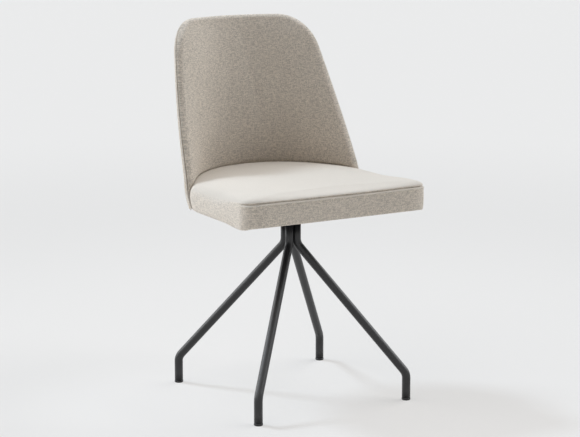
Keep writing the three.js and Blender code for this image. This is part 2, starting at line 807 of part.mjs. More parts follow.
// A wrapped layer of the back between two depths, with rings of reach and depth round its rim
function backLayer({ margin, front, rear, rim = [], crowned = true }) {
  const side = backSide(margin);
  const last = side.length - 1;
  const places = [];
  const faces = [];
  const columns = Array.from({ length: backColumns + 1 }, (_, i) => (2 * i) / backColumns - 1);
  const grid = (depthAt) => side.map(({ at }) => columns.map((across) => {
    places.push(backSpot(across * at.x, at.y, depthAt(across, at.y)));
    return places.length - 1;
  }));
  const frontGrid = grid((across, height) => front + (crowned ? crownAt(across, height) : 0));
  const rearGrid = grid(() => rear);
  for (let row = 0; row < last; row += 1) {
    for (let i = 0; i < backColumns; i += 1) {
      const [low, high] = [frontGrid[row], frontGrid[row + 1]];
      const [rearLow, rearHigh] = [rearGrid[row], rearGrid[row + 1]];
      quad(faces, low[i], low[i + 1], high[i + 1], high[i]);
      quad(faces, rearLow[i + 1], rearLow[i], rearHigh[i], rearHigh[i + 1]);
    }
  }
  const loop = backLoop(side);
  const ringOf = (reach, depth) => loop.map(({ row, column, out }) => {
    const spot = side[row].at;
    places.push(backSpot(columns[column] * spot.x + out.x * reach, spot.y + out.y * reach, depth));
    return places.length - 1;
  });
  const rings = [
    loop.map(({ row, column }) => frontGrid[row][column]),
    ...rim.map(([reach, depth]) => ringOf(reach, depth)),
    loop.map(({ row, column }) => rearGrid[row][column]),
  ];
  for (let ring = 0; ring < rings.length - 1; ring += 1) {
    loop.forEach((_, i) => {
      const next = (i + 1) % loop.length;
      quad(faces, rings[ring][i], rings[ring + 1][i], rings[ring + 1][next], rings[ring][next]);
    });
  }
  return meshOf(places, faces);
}

function quad(faces, a, b, c, d) {
  faces.push(a, b, c, a, c, d);
}

// The rim of the grid, once round: along the bottom, up the right, along the top, down the left
function backLoop(side) {
  const last = side.length - 1;
  const columns = Array.from({ length: backColumns + 1 }, (_, i) => i);
  const rows = Array.from({ length: last - 1 }, (_, i) => i + 1);
  const mirrored = (out) => new THREE.Vector2(-out.x, out.y);
  return [
    ...columns.map((column) => ({ row: 0, column, out: side[0].out })),
    ...rows.map((row) => ({ row, column: backColumns, out: side[row].out })),
    ...columns.reverse().map((column) => ({ row: last, column, out: side[last].out })),
    ...rows.reverse().map((row) => ({ row, column: 0, out: mirrored(side[row].out) })),
  ];
}

// The whole upholstered back, or what is left of it under a skin
function backForm(skin) {
  const rim = Array.from({ length: backRimSteps - 1 }, (_, i) => {
    const angle = (halfTurn * (i + 1)) / backRimSteps;
    const reach = (backEdgeRadius - skin) * Math.sin(angle);
    return [reach, backEdgeRadius + (backEdgeRadius - skin) * Math.cos(angle)];
  });
  return backLayer({ margin: backEdgeRadius, front: backThickness - skin, rear: skin, rim });
}

function inFrontOf(depth) {
  const front = backThickness + backCrown + cutOverrun;
  return backLayer({ margin: -cutOverrun, front, rear: depth, crowned: false });
}

function behind(depth) {
  return backLayer({ margin: -cutOverrun, front: depth, rear: -cutOverrun, crowned: false });
}

// Everything under the foot of the pad
function underPad() {
  const size = 2 * (backOuterRadius + backThickness);
  const top = seatTopHeight - backPadFoot;
  return new THREE.BoxGeometry(2 * size, 2 * size, size).translate(0, 0, top - size / 2);
}

function shellPilots() {
  const hole = holePoints(bracketScrewDiameter / 2, smallSides);
  return bracketPlaces().flatMap(({ spin }) => shellScrewSpots().map((spot) => spin(
    prism(hole, -cutOverrun, shellInnerDepth)
      .rotateY(quarterTurn).translate(uprightFace, spot.y, spot.z))));
}

function backShell() {
  const rounded = within(backForm(fabricThickness + restGap), behind(shellInnerDepth));
  return without(rounded, ...shellPilots());
}

function backPad() {
  const form = backForm(fabricThickness + restGap);
  return without(form, behind(shellInnerDepth + restGap), underPad(), seatForm(-restGap));
}

function backSkin() {
  return without(backForm(0), backForm(fabricThickness));
}

function innerCover() {
  const kept = within(backSkin(), inFrontOf(backSeamDepth + restGap / 2));
  return without(kept, underPad(), seatForm(-restGap));
}

function outerCover() {
  return without(backSkin(), inFrontOf(backSeamDepth - restGap / 2));
}

seatGroup.add(piece('seat_board', seatBoard(), 'plywood'));
seatGroup.add(piece('seat_foam', seatFoam(), 'foam'));
seatGroup.add(piece('seat_cover', seatCover(), 'fabric'));
seatGroup.add(piece('seat_dust_cloth', dustCloth(), 'dustCloth'));
seatGroup.add(piece('back_shell', backShell(), 'plywood'));
seatGroup.add(piece('back_pad', backPad(), 'foam'));
seatGroup.add(piece('back_inner_cover', innerCover(), 'fabric'));
seatGroup.add(piece('back_outer_cover', outerCover(), 'fabric'));

bracketPlaces().forEach(({ spin }, i) => {
  const place = bracketNameList[i];
  seatGroup.add(piece(`back_bracket_${place}`, spin(bracketArm()), 'blackSteel'));
  boardScrewSpots().forEach((spot, at) => {
    seatGroup.add(piece(`board_screw_${place}_${at + 1}`, spin(boardScrew(spot)), 'zincSteel'));
  });
  shellScrewSpots().forEach((spot, at) => {
    seatGroup.add(piece(`shell_screw_${place}_${at + 1}`, spin(shellScrew(spot)), 'zincSteel'));
  });
});

export default chair;
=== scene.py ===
# %% [markdown]
# # A swivel dining chair
# The chair has a woven cushion, a padded back that wraps round the sitter, and a base of four bent
# steel tubes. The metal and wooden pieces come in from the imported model. This lesson makes the
# pieces that need a finer surface, gives every piece its finish, and sets up the studio.

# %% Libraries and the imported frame
import json
import math
import bmesh
import bpy
from mathutils import Matrix, Vector


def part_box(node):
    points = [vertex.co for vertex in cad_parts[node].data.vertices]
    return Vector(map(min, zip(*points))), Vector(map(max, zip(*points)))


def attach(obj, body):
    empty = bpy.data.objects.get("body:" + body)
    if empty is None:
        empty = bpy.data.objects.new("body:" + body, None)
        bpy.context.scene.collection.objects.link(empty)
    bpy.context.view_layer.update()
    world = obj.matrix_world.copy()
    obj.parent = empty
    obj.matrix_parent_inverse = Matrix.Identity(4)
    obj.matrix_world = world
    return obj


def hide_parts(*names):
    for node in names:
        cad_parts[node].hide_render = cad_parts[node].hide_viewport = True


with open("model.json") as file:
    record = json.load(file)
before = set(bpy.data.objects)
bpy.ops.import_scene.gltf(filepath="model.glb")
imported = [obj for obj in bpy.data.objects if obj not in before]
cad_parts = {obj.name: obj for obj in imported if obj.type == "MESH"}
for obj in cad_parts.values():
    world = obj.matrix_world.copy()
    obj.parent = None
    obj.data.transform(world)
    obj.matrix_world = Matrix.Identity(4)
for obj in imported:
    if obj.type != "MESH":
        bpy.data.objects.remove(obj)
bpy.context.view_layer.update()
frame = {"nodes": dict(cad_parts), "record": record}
nodes = frame["nodes"]
print("packed nodes:", len(nodes))

# %% [markdown]
# ## The camera
# The photograph looks down on the chair a little, from the front and the left. The camera could be
# aimed at the chair by a constraint, but plain angles are easier to read and to correct.

# %% Camera
photo_width_pixels = 580
focal_length_pixels = 1916.3
frame_offset_pixels = 2.28
camera_place = (-1.9938, -3.4532, 1.1977)
camera_heading = math.radians(-29.908)
camera_dip = math.radians(11.592)

camera_data = bpy.data.cameras.new("view_camera")
camera_data.sensor_width = 36
camera_data.lens = focal_length_pixels / photo_width_pixels * camera_data.sensor_width
camera_data.shift_x = frame_offset_pixels / photo_width_pixels
camera = bpy.data.objects.new("view_camera", camera_data)
camera.location = camera_place
camera.rotation_euler = (math.pi / 2 - camera_dip, 0, camera_heading)
bpy.context.scene.collection.objects.link(camera)
bpy.context.scene.camera = camera
print("lens:", round(camera_data.lens, 1), "mm")

# %% [markdown]
# ## Helpers for making pieces
# Every piece starts as a bmesh, which is Blender's editable mesh. These helpers turn one into an
# object, and finish it with a modifier that is applied at once, so that the mesh holds the shape.

# %% Helpers
MM = 0.001
quarter, half = math.pi / 2, math.pi


def make_object(bm, name, smooth=True):
    bmesh.ops.recalc_face_normals(bm, faces=bm.faces)
    mesh = bpy.data.meshes.new(name)
    bm.to_mesh(mesh)
    bm.free()
    for face in mesh.polygons:
        face.use_smooth = smooth
    piece = bpy.data.objects.new(name, mesh)
    bpy.context.scene.collection.objects.link(piece)
    return piece


def apply_modifiers(piece):
    graph = bpy.context.evaluated_depsgraph_get()
    finished = bpy.data.meshes.new_from_object(piece.evaluated_get(graph))
    piece.modifiers.clear()
    old = piece.data
    piece.data = finished
    bpy.data.meshes.remove(old)


def verts_of(made):
    return [item for item in made["geom"] if isinstance(item, bmesh.types.BMVert)]


def edges_of(made):
    return [item for item in made["geom"] if isinstance(item, bmesh.types.BMEdge)]


# %% [markdown]
# ## The leg tubes
# Each leg is one steel tube, bent twice. Sweeping a circle along a curve would do, but a tube
# bender really spins the tube about the centre of its former, and the spin operator does the same:
# the last ring of the tube is carried round that centre. Straight stretches are extruded.

# %% Leg sizes
tube_radius = 9 * MM
tube_wall = 1.5 * MM
bend_radius = 27 * MM
foot_circle_radius = 254.2 * MM
foot_bend_height = 57.8 * MM
seat_bottom_height = 413.4 * MM
leg_top_height = seat_bottom_height - 39 * MM
hub_bend_height = leg_top_height - 46.6 * MM
bundle_radius = 18.3 * MM / math.sqrt(2)
glide_height = 5 * MM
rest_gap = 0.3 * MM
tube_sides = 40
bend_steps = 14

leg_lean = math.atan2(foot_circle_radius - bundle_radius, hub_bend_height - foot_bend_height)
bend_reach = bend_radius * math.tan(leg_lean / 2)
slanted_length = math.hypot(foot_circle_radius - bundle_radius, hub_bend_height - foot_bend_height)
print("leg lean:", round(math.degrees(leg_lean), 1), "degrees")

# %% Bending a tube
LEG_ANGLES = {"front_right": -45, "rear_right": 45, "rear_left": 135, "front_left": 225}


def push_ring(bm, ring, step):
    made = bmesh.ops.extrude_edge_only(bm, edges=ring)
    bmesh.ops.translate(bm, vec=step, verts=verts_of(made))
    verts = set(verts_of(made))
    return [edge for edge in edges_of(made) if edge.verts[0] in verts and edge.verts[1] in verts]


def bend_ring(bm, ring, centre, angle):
    made = bmesh.ops.spin(bm, geom=ring, cent=centre, axis=(0, 1, 0), angle=angle, steps=bend_steps)
    return [item for item in made["geom_last"] if isinstance(item, bmesh.types.BMEdge)]


def make_leg(place):
    bm = bmesh.new()
    foot = Vector((foot_circle_radius, 0, glide_height + rest_gap))
    bmesh.ops.create_circle(bm, segments=tube_sides, radius=tube_radius, matrix=Matrix.Translation(foot))
    ring = push_ring(bm, bm.edges[:], (0, 0, foot_bend_height - bend_reach - foot.z))
    centre = Vector((foot_circle_radius - bend_radius, 0, foot_bend_height - bend_reach))
    ring = bend_ring(bm, ring, centre, -leg_lean)
    heading = Vector((-math.sin(leg_lean), 0, math.cos(leg_lean)))
    ring = push_ring(bm, ring, heading * (slanted_length - 2 * bend_reach))
    centre = Vector((bundle_radius + bend_radius, 0, hub_bend_height + bend_reach))
    ring = bend_ring(bm, ring, centre, leg_lean)
    push_ring(bm, ring, (0, 0, leg_top_height - hub_bend_height - bend_reach))
    bmesh.ops.remove_doubles(bm, verts=bm.verts, dist=rest_gap / 10)
    turn = Matrix.Rotation(math.radians(LEG_ANGLES[place]), 4, "Z")
    bmesh.ops.transform(bm, matrix=turn, verts=bm.verts)
    leg = make_object(bm, "tube_" + place)
    wall = leg.modifiers.new("wall", "SOLIDIFY")
    wall.thickness = tube_wall
    wall.offset = -1
    apply_modifiers(leg)
    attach(leg, "base")
    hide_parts("leg_" + place)
    return leg


legs = [make_leg(place) for place in LEG_ANGLES]
print("leg faces:", len(legs[0].data.polygons))

# %% [markdown]
# ## The glides
# A glide is a turned plastic cap with a plug that goes up into the tube. Half its outline is
# drawn with a few points and spun a full turn about the leg's own axis.

# %% Glides
glide_radius = 9.4 * MM
glide_edge = 1.2 * MM
glide_round_steps = 5
plug_radius = tube_radius - tube_wall - 2 * rest_gap
plug_length = 20 * MM
turned_sides = 48


def turn_profile(profile, centre):
    bm = bmesh.new()
    points = [bm.verts.new((centre.x + radius, centre.y, centre.z + height)) for radius, height in profile]
    line = [bm.edges.new(pair) for pair in zip(points, points[1:])]
    bmesh.ops.spin(bm, geom=points + line, cent=centre, axis=(0, 0, 1),
                   angle=2 * math.pi, steps=turned_sides, use_merge=True)
    bmesh.ops.remove_doubles(bm, verts=bm.verts, dist=rest_gap / 10)
    return bm


def make_glide(place):
    angle = math.radians(LEG_ANGLES[place])
    centre = Vector((foot_circle_radius * math.cos(angle), foot_circle_radius * math.sin(angle), 0))
    turns = [quarter * step / glide_round_steps for step in range(glide_round_steps + 1)]
    cap = [(glide_radius - glide_edge * (1 - math.sin(turn)), glide_edge * (1 - math.cos(turn)))
           for turn in turns]
    profile = [(0, 0), *cap, (glide_radius, glide_height - glide_edge / 2),
               (glide_radius - glide_edge / 2, glide_height), (plug_radius, glide_height),
               (plug_radius, glide_height + plug_length), (0, glide_height + plug_length)]
    glide = make_object(turn_profile(profile, centre), "foot_" + place)
    glide.data.set_sharp_from_angle(angle=math.radians(40))
    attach(glide, "base")
    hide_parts("glide_" + place)
    return glide


glides = [make_glide(place) for place in LEG_ANGLES]
print("glides:", len(glides))

# %% [markdown]
# ## The outline of the cushion
# Seen from above, the cushion has a straight front, rounded front corners, straight sides and a
# round rear that follows the back. The outline is a list of spots, each with its outward
# direction, because the sides of a cushion are rolled by different amounts all round.

# %% Cushion outline
seat_half_width = 217.2 * MM
seat_front_reach = 204.9 * MM
seat_corner_length, seat_corner_depth = 44 * MM, 34 * MM
seat_side_blend = 110 * MM
seat_rear_radius = 223.3 * MM
seat_rear_centre = -17.6 * MM
outline_spacing = 6 * MM


def arc_spots(centre_x, centre_y, length, depth, start, stop):
    """Spots on an oval arc that is as long as its length sideways and as deep as its depth"""
    steps = max(2, round(abs(stop - start) * max(length, depth) / outline_spacing))
    spots = []
    for turn in (start + (stop - start) * step / steps for step in range(steps)):
        out = (math.cos(turn), math.sin(turn))
        scale = math.hypot(length * out[0], depth * out[1])
        spots.append(((centre_x + length ** 2 * out[0] / scale, centre_y + depth ** 2 * out[1] / scale), out))
    return spots


def line_spots(start, stop, outward):
    steps = max(2, round(math.dist(start, stop) / outline_spacing))
    return [((start[0] + (stop[0] - start[0]) * step / steps,
              start[1] + (stop[1] - start[1]) * step / steps), outward) for step in range(steps)]


def cushion_outline():
    corner_x, corner_y = seat_half_width - seat_corner_length, seat_corner_depth - seat_front_reach
    corner_sizes = (seat_corner_length, seat_corner_depth)
    blend_x = seat_half_width - seat_side_blend
    blend_sizes = (seat_side_blend, seat_side_blend)
    rear_sizes = (seat_rear_radius, seat_rear_radius)
    rise = math.sqrt((seat_rear_radius - seat_side_blend) ** 2 - blend_x ** 2)
    blend_y = seat_rear_centre + rise
    rear_start = math.atan2(rise, blend_x)
    return [
        *line_spots((-corner_x, -seat_front_reach), (corner_x, -seat_front_reach), (0, -1)),
        *arc_spots(corner_x, corner_y, *corner_sizes, -quarter, 0),
        *line_spots((seat_half_width, corner_y), (seat_half_width, blend_y), (1, 0)),
        *arc_spots(blend_x, blend_y, *blend_sizes, 0, rear_start),
        *arc_spots(0, seat_rear_centre, *rear_sizes, rear_start, half - rear_start),
        *arc_spots(-blend_x, blend_y, *blend_sizes, half - rear_start, half),
        *line_spots((-seat_half_width, blend_y), (-seat_half_width, corner_y), (-1, 0)),
        *arc_spots(-corner_x, corner_y, *corner_sizes, half, half + quarter),
    ]


outline = cushion_outline()
print("spots round the cushion:", len(outline))

# %% [markdown]
# ## The cushion
# The cover runs over the foam in one piece from side to side, and a separate front panel is sewn
# on under the front edge. The closed form is raised ring by ring from its outline: a ring of edges
# is extruded and each of its vertices is moved in or out by the roll of the edge there. A cube
# with bevels was the other way, but its edges can't change their radius along the way.

# %% Cushion sizes
seat_thickness = 56.5 * MM
seat_top_height = seat_bottom_height + seat_thickness
seat_front_lift = 3.6 * MM
seat_middle_lift = 1.2 * MM
seat_side_drop = 4.4 * MM
seat_corner_lift = 2 * MM
side_firm_start, side_firm_end = 50 * MM, 172 * MM
seat_side_droop, seat_corner_droop = 3.5 * MM, 6.5 * MM
corner_droop_start = 100 * MM
droop_end = 80 * MM
board_underside = seat_bottom_height + 1.4 * MM
seat_crown = 8 * MM
seat_side_round, seat_rear_round = 28 * MM, 12 * MM
side_round_at_corner = 12 * MM
seat_front_roll_depth = 20 * MM
seam_middle_drop = 7.0 * MM
seam_rise, seam_corner_fall = 1.0 * MM, 2.5 * MM
roll_below_seam = 2.2 * MM
seat_side_tuck, seat_front_tuck, seat_rear_tuck = 4 * MM, 4 * MM, 31 * MM
seat_side_bulge, seat_front_bulge = 0.3 * MM, 1.2 * MM
front_start_share, front_full_share = 0.1, 0.6
seam_rise_start_share, seam_rise_end_share, seam_fall_start_share = 0.3, 0.75, 0.8
tuck_steps, side_steps, roll_steps = 6, 6, 8
print("top of the cushion's edge:", round(seat_top_height / MM, 1), "mm")


def ease(value, low, high):
    """Nought below the low value, one above the high one, and a soft rise between them"""
    share = min(1, max(0, (value - low) / (high - low)))
    return share * share * (3 - 2 * share)


def side_droop(y):
    """The cover sags a little below the board along the sides, and most at the front corners"""
    way_to_corner = seat_front_reach - seat_corner_depth - corner_droop_start
    share = min(1, max(0, -y - corner_droop_start) / way_to_corner)
    side = seat_side_droop * (1 - ease(y, 0, droop_end))
    return side + (seat_corner_droop - side) * share


def front_lift(x):
    """The front edge lies a little lower in its middle, where it is sat on"""
    share = min(1, abs(x) / (seat_half_width - seat_corner_depth))
    return seat_middle_lift + (seat_front_lift - seat_middle_lift) * share ** 2


def seam_height_at(x):
    """The front seam rises a little towards the sides, and falls again at the corners"""
    share = abs(x) / seat_half_width
    rise = seam_rise * ease(share, seam_rise_start_share, seam_rise_end_share)
    fall = seam_corner_fall * ease(share, seam_fall_start_share, 1)
    return seat_top_height - seam_middle_drop + rise - fall


def size_towards(out, side, front, rear):
    """A size for one way out: it goes over from the side's to the front's or to the rear's"""
    if out[1] < 0:
        share = ease(out[1] ** 2, front_start_share, front_full_share)
        return side + (front - side) * share
    return side + (rear - side) * out[1] ** 2


def cushion_edge(x, y, out):
    """Sizes of the rolled lower and upper edges, and where they start"""
    tuck = size_towards(out, seat_side_tuck, seat_front_tuck, seat_rear_tuck)
    front_roll = seat_top_height + front_lift(x) - seam_height_at(x) + roll_below_seam
    firm = ease(-y, side_firm_start, side_firm_end)
    side_roll = seat_side_round + (side_round_at_corner - seat_side_round) * firm
    side_lift = -seat_side_drop + (seat_side_drop + seat_corner_lift) * firm
    roll = size_towards(out, side_roll, front_roll, seat_rear_round)
    low = seat_bottom_height - side_droop(y) * out[0] ** 2 + tuck
    high = seat_top_height + size_towards(out, side_lift, front_lift(x), 0) - roll
    return tuck, roll, low, high


def cushion_profile(x, y, out):
    """Inset and height of each ring, from the underside to the top"""
    tuck, roll, low, high = cushion_edge(x, y, out)
    bulge = size_towards(out, seat_side_bulge, seat_front_bulge, 0)
    firm = ease(-y, side_firm_start, side_firm_end)
    side_depth = seat_side_round + (seat_front_roll_depth - seat_side_round) * firm
    depth = size_towards(out, side_depth, seat_front_roll_depth, seat_rear_round)
    rings = [(tuck * (1 - math.sin(turn)), low - tuck * math.cos(turn))
             for turn in (quarter * step / tuck_steps for step in range(tuck_steps + 1))]
    rings += [(-bulge * math.sin(math.pi * share), low + (high - low) * share)
              for share in (step / side_steps for step in range(1, side_steps))]
    rings += [(depth * (1 - math.cos(turn)), high + roll * math.sin(turn))
              for turn in (quarter * step / roll_steps for step in range(roll_steps + 1))]
    return rings


# %% [markdown]
# ## The underside of the cushion
# The cover is folded under the board and stapled, and a dust cloth closes what is left open. So
# the underside slopes up from its lower edge to the board, and meets it at the cloth's edge. If it
# hung level instead, it would hide the cloth and the mounting plate.

# %% Edge of the dust cloth
cloth_lowest, cloth_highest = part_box("seat_dust_cloth")
outline_length = seat_front_reach + seat_rear_centre + seat_rear_radius


def cloth_spot(x, y):
    """The spot on the dust cloth's edge that belongs to a spot of the cushion's outline"""
    length_share = (cloth_highest.y - cloth_lowest.y) / outline_length
    return x * cloth_highest.x / seat_half_width, cloth_lowest.y + (y + seat_front_reach) * length_share


cloth_edge = [cloth_spot(x, y) for (x, y), _ in outline]
print("spots on the dust cloth's edge:", len(cloth_edge))

# %% Cushion form
crown_shares = (0.96, 0.9, 0.8, 0.68, 0.54, 0.38, 0.2)


def crown_height(x, y, share):
    """The crown falls off sideways and forwards apart, so that no ridge runs to the square corners"""
    if y >= 0:
        return seat_crown * (1 - share ** 2)
    sideways = min(1, abs(x) / (seat_half_width - seat_side_round))
    forwards = min(1, -y / (seat_front_reach - seat_front_roll_depth))
    return seat_crown * (1 - sideways ** 2) * (1 - forwards ** 2)


def cushion_rings():
    """Rings of spots from the board's underside, round the edge, to the middle of the top"""
    columns = [[(x - out[0] * inset, y - out[1] * inset, height)
                for inset, height in cushion_profile(x, y, out)] for (x, y), out in outline]
    rings = [[(x, y, board_underside) for x, y in cloth_edge], *(list(ring) for ring in zip(*columns))]
    rim = rings[-1]
    for share in crown_shares:
        rings.append([(x * share, y * share,
                       seat_top_height + (height - seat_top_height) * share ** 4
                       + crown_height(x * share, y * share, share)) for x, y, height in rim])
    return rings


def make_cushion_form():
    bm = bmesh.new()
    rings = cushion_rings()
    verts = [bm.verts.new(spot) for spot in rings[0]]
    edges = [bm.edges.new((vert, verts[i - 1])) for i, vert in enumerate(verts)]
    bm.faces.new(verts)
    for spots in rings[1:]:
        fresh = set(verts_of(bmesh.ops.extrude_edge_only(bm, edges=edges)))
        verts = [next(edge.other_vert(vert) for edge in vert.link_edges if edge.other_vert(vert) in fresh)
                 for vert in verts]
        for vert, spot in zip(verts, spots):
            vert.co = spot
        edges = [bm.edges.get((vert, verts[i - 1])) for i, vert in enumerate(verts)]
    bm.faces.new(verts)
    return make_object(bm, "seat_cushion")


cushion = make_cushion_form()
print("cushion rings:", len(cushion_rings()))

# %% [markdown]
# ## Swelling the cushion
# Foam pushes the cover out between its seams. A cloth simulation with a little pressure does the
# same: the form gets an even grid of faces, and its underside, its front seam and its rear edge are
# pinned. The moves are evened out between neighbours, which takes small creases away, and no vertex
# may move further than a cap. The simulated shape is then kept as the mesh.

# %% Cloth simulation
cloth_voxel = 4.5 * MM
last_cloth_frame = 20
cloth_pressure = 4
calm_rounds = 12
smallest_move = 0.0001 * MM


def pin(piece, weight_at):
    group = piece.vertex_groups.new(name="pinned")
    for vert in piece.data.vertices:
        group.add([vert.index], weight_at(vert.co), "REPLACE")
    return group.name


def calm(piece, moves):
    """Even out the moves between neighbours, which takes the small creases out of the swelling"""
    for _ in range(calm_rounds):
        total, count = [move.copy() for move in moves], [1] * len(moves)
        for edge in piece.data.edges:
            first, second = edge.vertices
            total[first] += moves[second]
            total[second] += moves[first]
            count[first] += 1
            count[second] += 1
        moves = [move if move.length < smallest_move else both / number
                 for move, both, number in zip(moves, total, count)]
    return moves


def swell(piece, weight_at, cap):
    """Push a closed piece out like foam under its cover, but no vertex further than the cap"""
    before = [vert.co.copy() for vert in piece.data.vertices]
    cloth = piece.modifiers.new("cloth", "CLOTH")
    settings = cloth.settings
    settings.quality = 3
    settings.mass = 0.3
    settings.tension_stiffness = settings.compression_stiffness = 15
    settings.shear_stiffness = 5
    settings.bending_stiffness = 0.5
    settings.use_pressure = True
    settings.uniform_pressure_force = cloth_pressure
    settings.effector_weights.gravity = 0
    settings.vertex_group_mass = pin(piece, weight_at)
    cloth.collision_settings.use_collision = False
    cloth.point_cache.frame_start = 1
    cloth.point_cache.frame_end = last_cloth_frame
    for step in range(1, last_cloth_frame + 1):
        bpy.context.scene.frame_set(step)
    apply_modifiers(piece)
    piece.vertex_groups.clear()
    moves = calm(piece, [vert.co - start for vert, start in zip(piece.data.vertices, before)])
    for vert, start, move in zip(piece.data.vertices, before, moves):
        vert.co = start + move * min(1, cap / max(move.length, smallest_move))
    bpy.context.scene.frame_set(1)


def remesh(piece, size):
    voxels = piece.modifiers.new("voxels", "REMESH")
    voxels.mode = "VOXEL"
    voxels.voxel_size = size
    apply_modifiers(piece)


def refine(piece):
    fine = piece.modifiers.new("fine", "SUBSURF")
    fine.levels = fine.render_levels = 1
    apply_modifiers(piece)
    for face in piece.data.polygons:
        face.use_smooth = True


# %% Swell the cushion
seam_pin_reach = 5 * MM
rear_pin_reach = 12 * MM
underside_pin_reach = 7 * MM
cushion_swell = 1.6 * MM


def cushion_hold(place):
    if place.z < seat_bottom_height + underside_pin_reach:
        return 1.0
    near_seam = (abs(place.z - seam_height_at(place.x)) < seam_pin_reach
                 and place.y < seat_corner_depth - seat_front_reach)
    from_centre = math.hypot(place.x, place.y - seat_rear_centre)
    near_back = place.y > 0 and from_centre > seat_rear_radius - rear_pin_reach
    return 1.0 if near_seam or near_back else 0.0


remesh(cushion, cloth_voxel)
swell(cushion, cushion_hold, cushion_swell)
refine(cushion)
print("cushion faces:", len(cushion.data.polygons))

# %% [markdown]
# ## The front seam
# The front panel meets the top panel in a sewn line just under the front edge. On so fine a seam a
# picture of a line would look painted, so the mesh is cut by a few level planes where the seam
# runs, and the rows in between are pulled in for the groove and let out for the lip below it. The
# seam sags in its middle, so the mesh is levelled by that sag before the cuts, and let down again.

# %% Front seam
# Height above the seam line, and how far the cover stands out there, both in millimetres
seam_rows = {2.6: 0.0, 1.5: -0.2, 0.7: -1.2, -0.1: -3.0, -0.9: -2.4,
             -2.1: -0.2, -3.3: 1.2, -4.4: 1.1, -6.4: 0.0}
seam_fade_start, seam_fade_end = 0.6, 0.97
corner_x, corner_y = seat_half_width - seat_corner_length, seat_corner_depth - seat_front_reach


def outward_at(place):
    """The way that the front of the cushion faces at a spot, round its oval corners"""
    across = max(0, abs(place.x) - corner_x) / seat_corner_length ** 2
    way = Vector((math.copysign(across, place.x), min(-1e-9, place.y - corner_y) / seat_corner_depth ** 2, 0))
    return way.normalized()


def seam_strength(place):
    """One along the front, fading out round each front corner"""
    if place.y > corner_y:
        return 0.0
    out = outward_at(place)
    turn = math.atan2(abs(out.x), -out.y) / quarter
    return max(0.0, min(1.0, (seam_fade_end - turn) / (seam_fade_end - seam_fade_start)))


def level_by_sag(bm, sign):
    for vert in bm.verts:
        vert.co.z += sign * (seam_height_at(vert.co.x) - seam_height_at(0))


def sew_front_seam(piece):
    bm = bmesh.new()
    bm.from_mesh(piece.data)
    seam_height = seam_height_at(0)
    level_by_sag(bm, -1)
    for level in seam_rows:
        height = seam_height + level * MM
        middles = [(face, face.calc_center_median()) for face in bm.faces]
        near = [face for face, middle in middles
                if middle.y < corner_y and abs(middle.z - height) < cloth_voxel]
        parts = set(near)
        for face in near:
            parts.update(face.edges)
            parts.update(face.verts)
        bmesh.ops.bisect_plane(bm, geom=list(parts), plane_co=(0, 0, height), plane_no=(0, 0, 1), dist=1e-6)
    levels = sorted(seam_rows)
    for vert in bm.verts:
        offset = (vert.co.z - seam_height) / MM
        if levels[0] < offset < levels[-1] and vert.co.y < corner_y:
            above = next(level for level in levels if level >= offset)
            below = levels[max(0, levels.index(above) - 1)]
            share = 0 if above == below else (offset - below) / (above - below)
            push = seam_rows[below] * (1 - share) + seam_rows[above] * share
            vert.co += outward_at(vert.co) * (push * MM * seam_strength(vert.co))
    level_by_sag(bm, 1)
    bm.to_mesh(piece.data)
    bm.free()


sew_front_seam(cushion)
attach(cushion, "seat")
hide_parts("seat_cover", "seat_foam")
print("cushion faces with its seam:", len(cushion.data.polygons))

# %% [markdown]
# ## The wrap of the back
# The back is a flat sheet that was bent round: it can be laid out flat as a tapered sheet with
# round corners. A spot on it has a girth, which is its way along the curve from the middle, a
# height, and a depth in from the rear face. One function wraps such a spot round the sitter, so
# that every layer of the back can be drawn flat.

# %% Wrapping a spot
back_outer_radius = 233 * MM
back_radius_gain_share = 0.065
back_rear_reach = 215.4 * MM
back_rake_slope = math.tan(math.radians(11.06))
back_rake_blend = 20 * MM
back_top_height = seat_top_height + 319.1 * MM
back_bottom_height = seat_bottom_height - 2 * MM
back_half_girth = 275.1 * MM
back_taper_share = 0.287
back_top_corner = 95 * MM
back_bottom_corner = 20 * MM
back_thickness = 18 * MM
back_edge_radius = back_thickness / 2
back_crown = 7 * MM
wing_foot_rise = 46 * MM
wing_foot_tuck = 8 * MM
wing_foot_power = 1.6
wing_toe_rise = 39 * MM
wing_toe_length = 46 * MM
wing_toe_rise_power, wing_toe_girth_power = 3, 6
wing_start, wing_full = 170 * MM, 250 * MM
print("back from", round(back_bottom_height / MM, 1), "to", round(back_top_height / MM, 1), "mm")


def wing_tuck(girth, height):
    """The wings lean in a little at their foot, where they clasp the cushion"""
    share = max(0, back_bottom_height + wing_foot_rise - height) / wing_foot_rise
    return wing_foot_tuck * share ** wing_foot_power * ease(abs(girth), wing_start, wing_full)


def wing_toe(girth, height):
    """The foot of each wing sweeps forward along the side of the cushion"""
    share = max(0, back_bottom_height + wing_toe_rise - height) / wing_toe_rise
    near_edge = (abs(girth) / back_half_girth) ** wing_toe_girth_power
    return math.copysign(wing_toe_length * share ** wing_toe_rise_power * near_edge, girth)


def wrap(girth, height, depth):
    """The place in the room of a spot on the flat sheet"""
    rise = height - seat_top_height
    outer = back_outer_radius + back_radius_gain_share * max(0, rise)
    reach = back_rear_reach + back_rake_slope * (math.hypot(rise, back_rake_blend) + rise) / 2
    depth += wing_tuck(girth, height) * max(0, 1 - depth / back_edge_radius)
    girth += wing_toe(girth, height)
    radius = outer - depth
    turn = girth / outer
    return Vector((radius * math.sin(turn), reach - outer + radius * math.cos(turn), height))


# %% Flat outline of the back
slant = math.atan(back_taper_share)
across_stretch = math.sqrt(1 + back_taper_share ** 2)
bottom_share, top_share = 0.05, 0.72


def edge_girth(height):
    return back_half_girth - back_taper_share * (height - seat_top_height)


def corner_spot(height, size, turn):
    out = (math.cos(turn), math.sin(turn))
    reach = size - back_edge_radius
    return (edge_girth(height) - size * across_stretch + reach * out[0], height + reach * out[1]), out


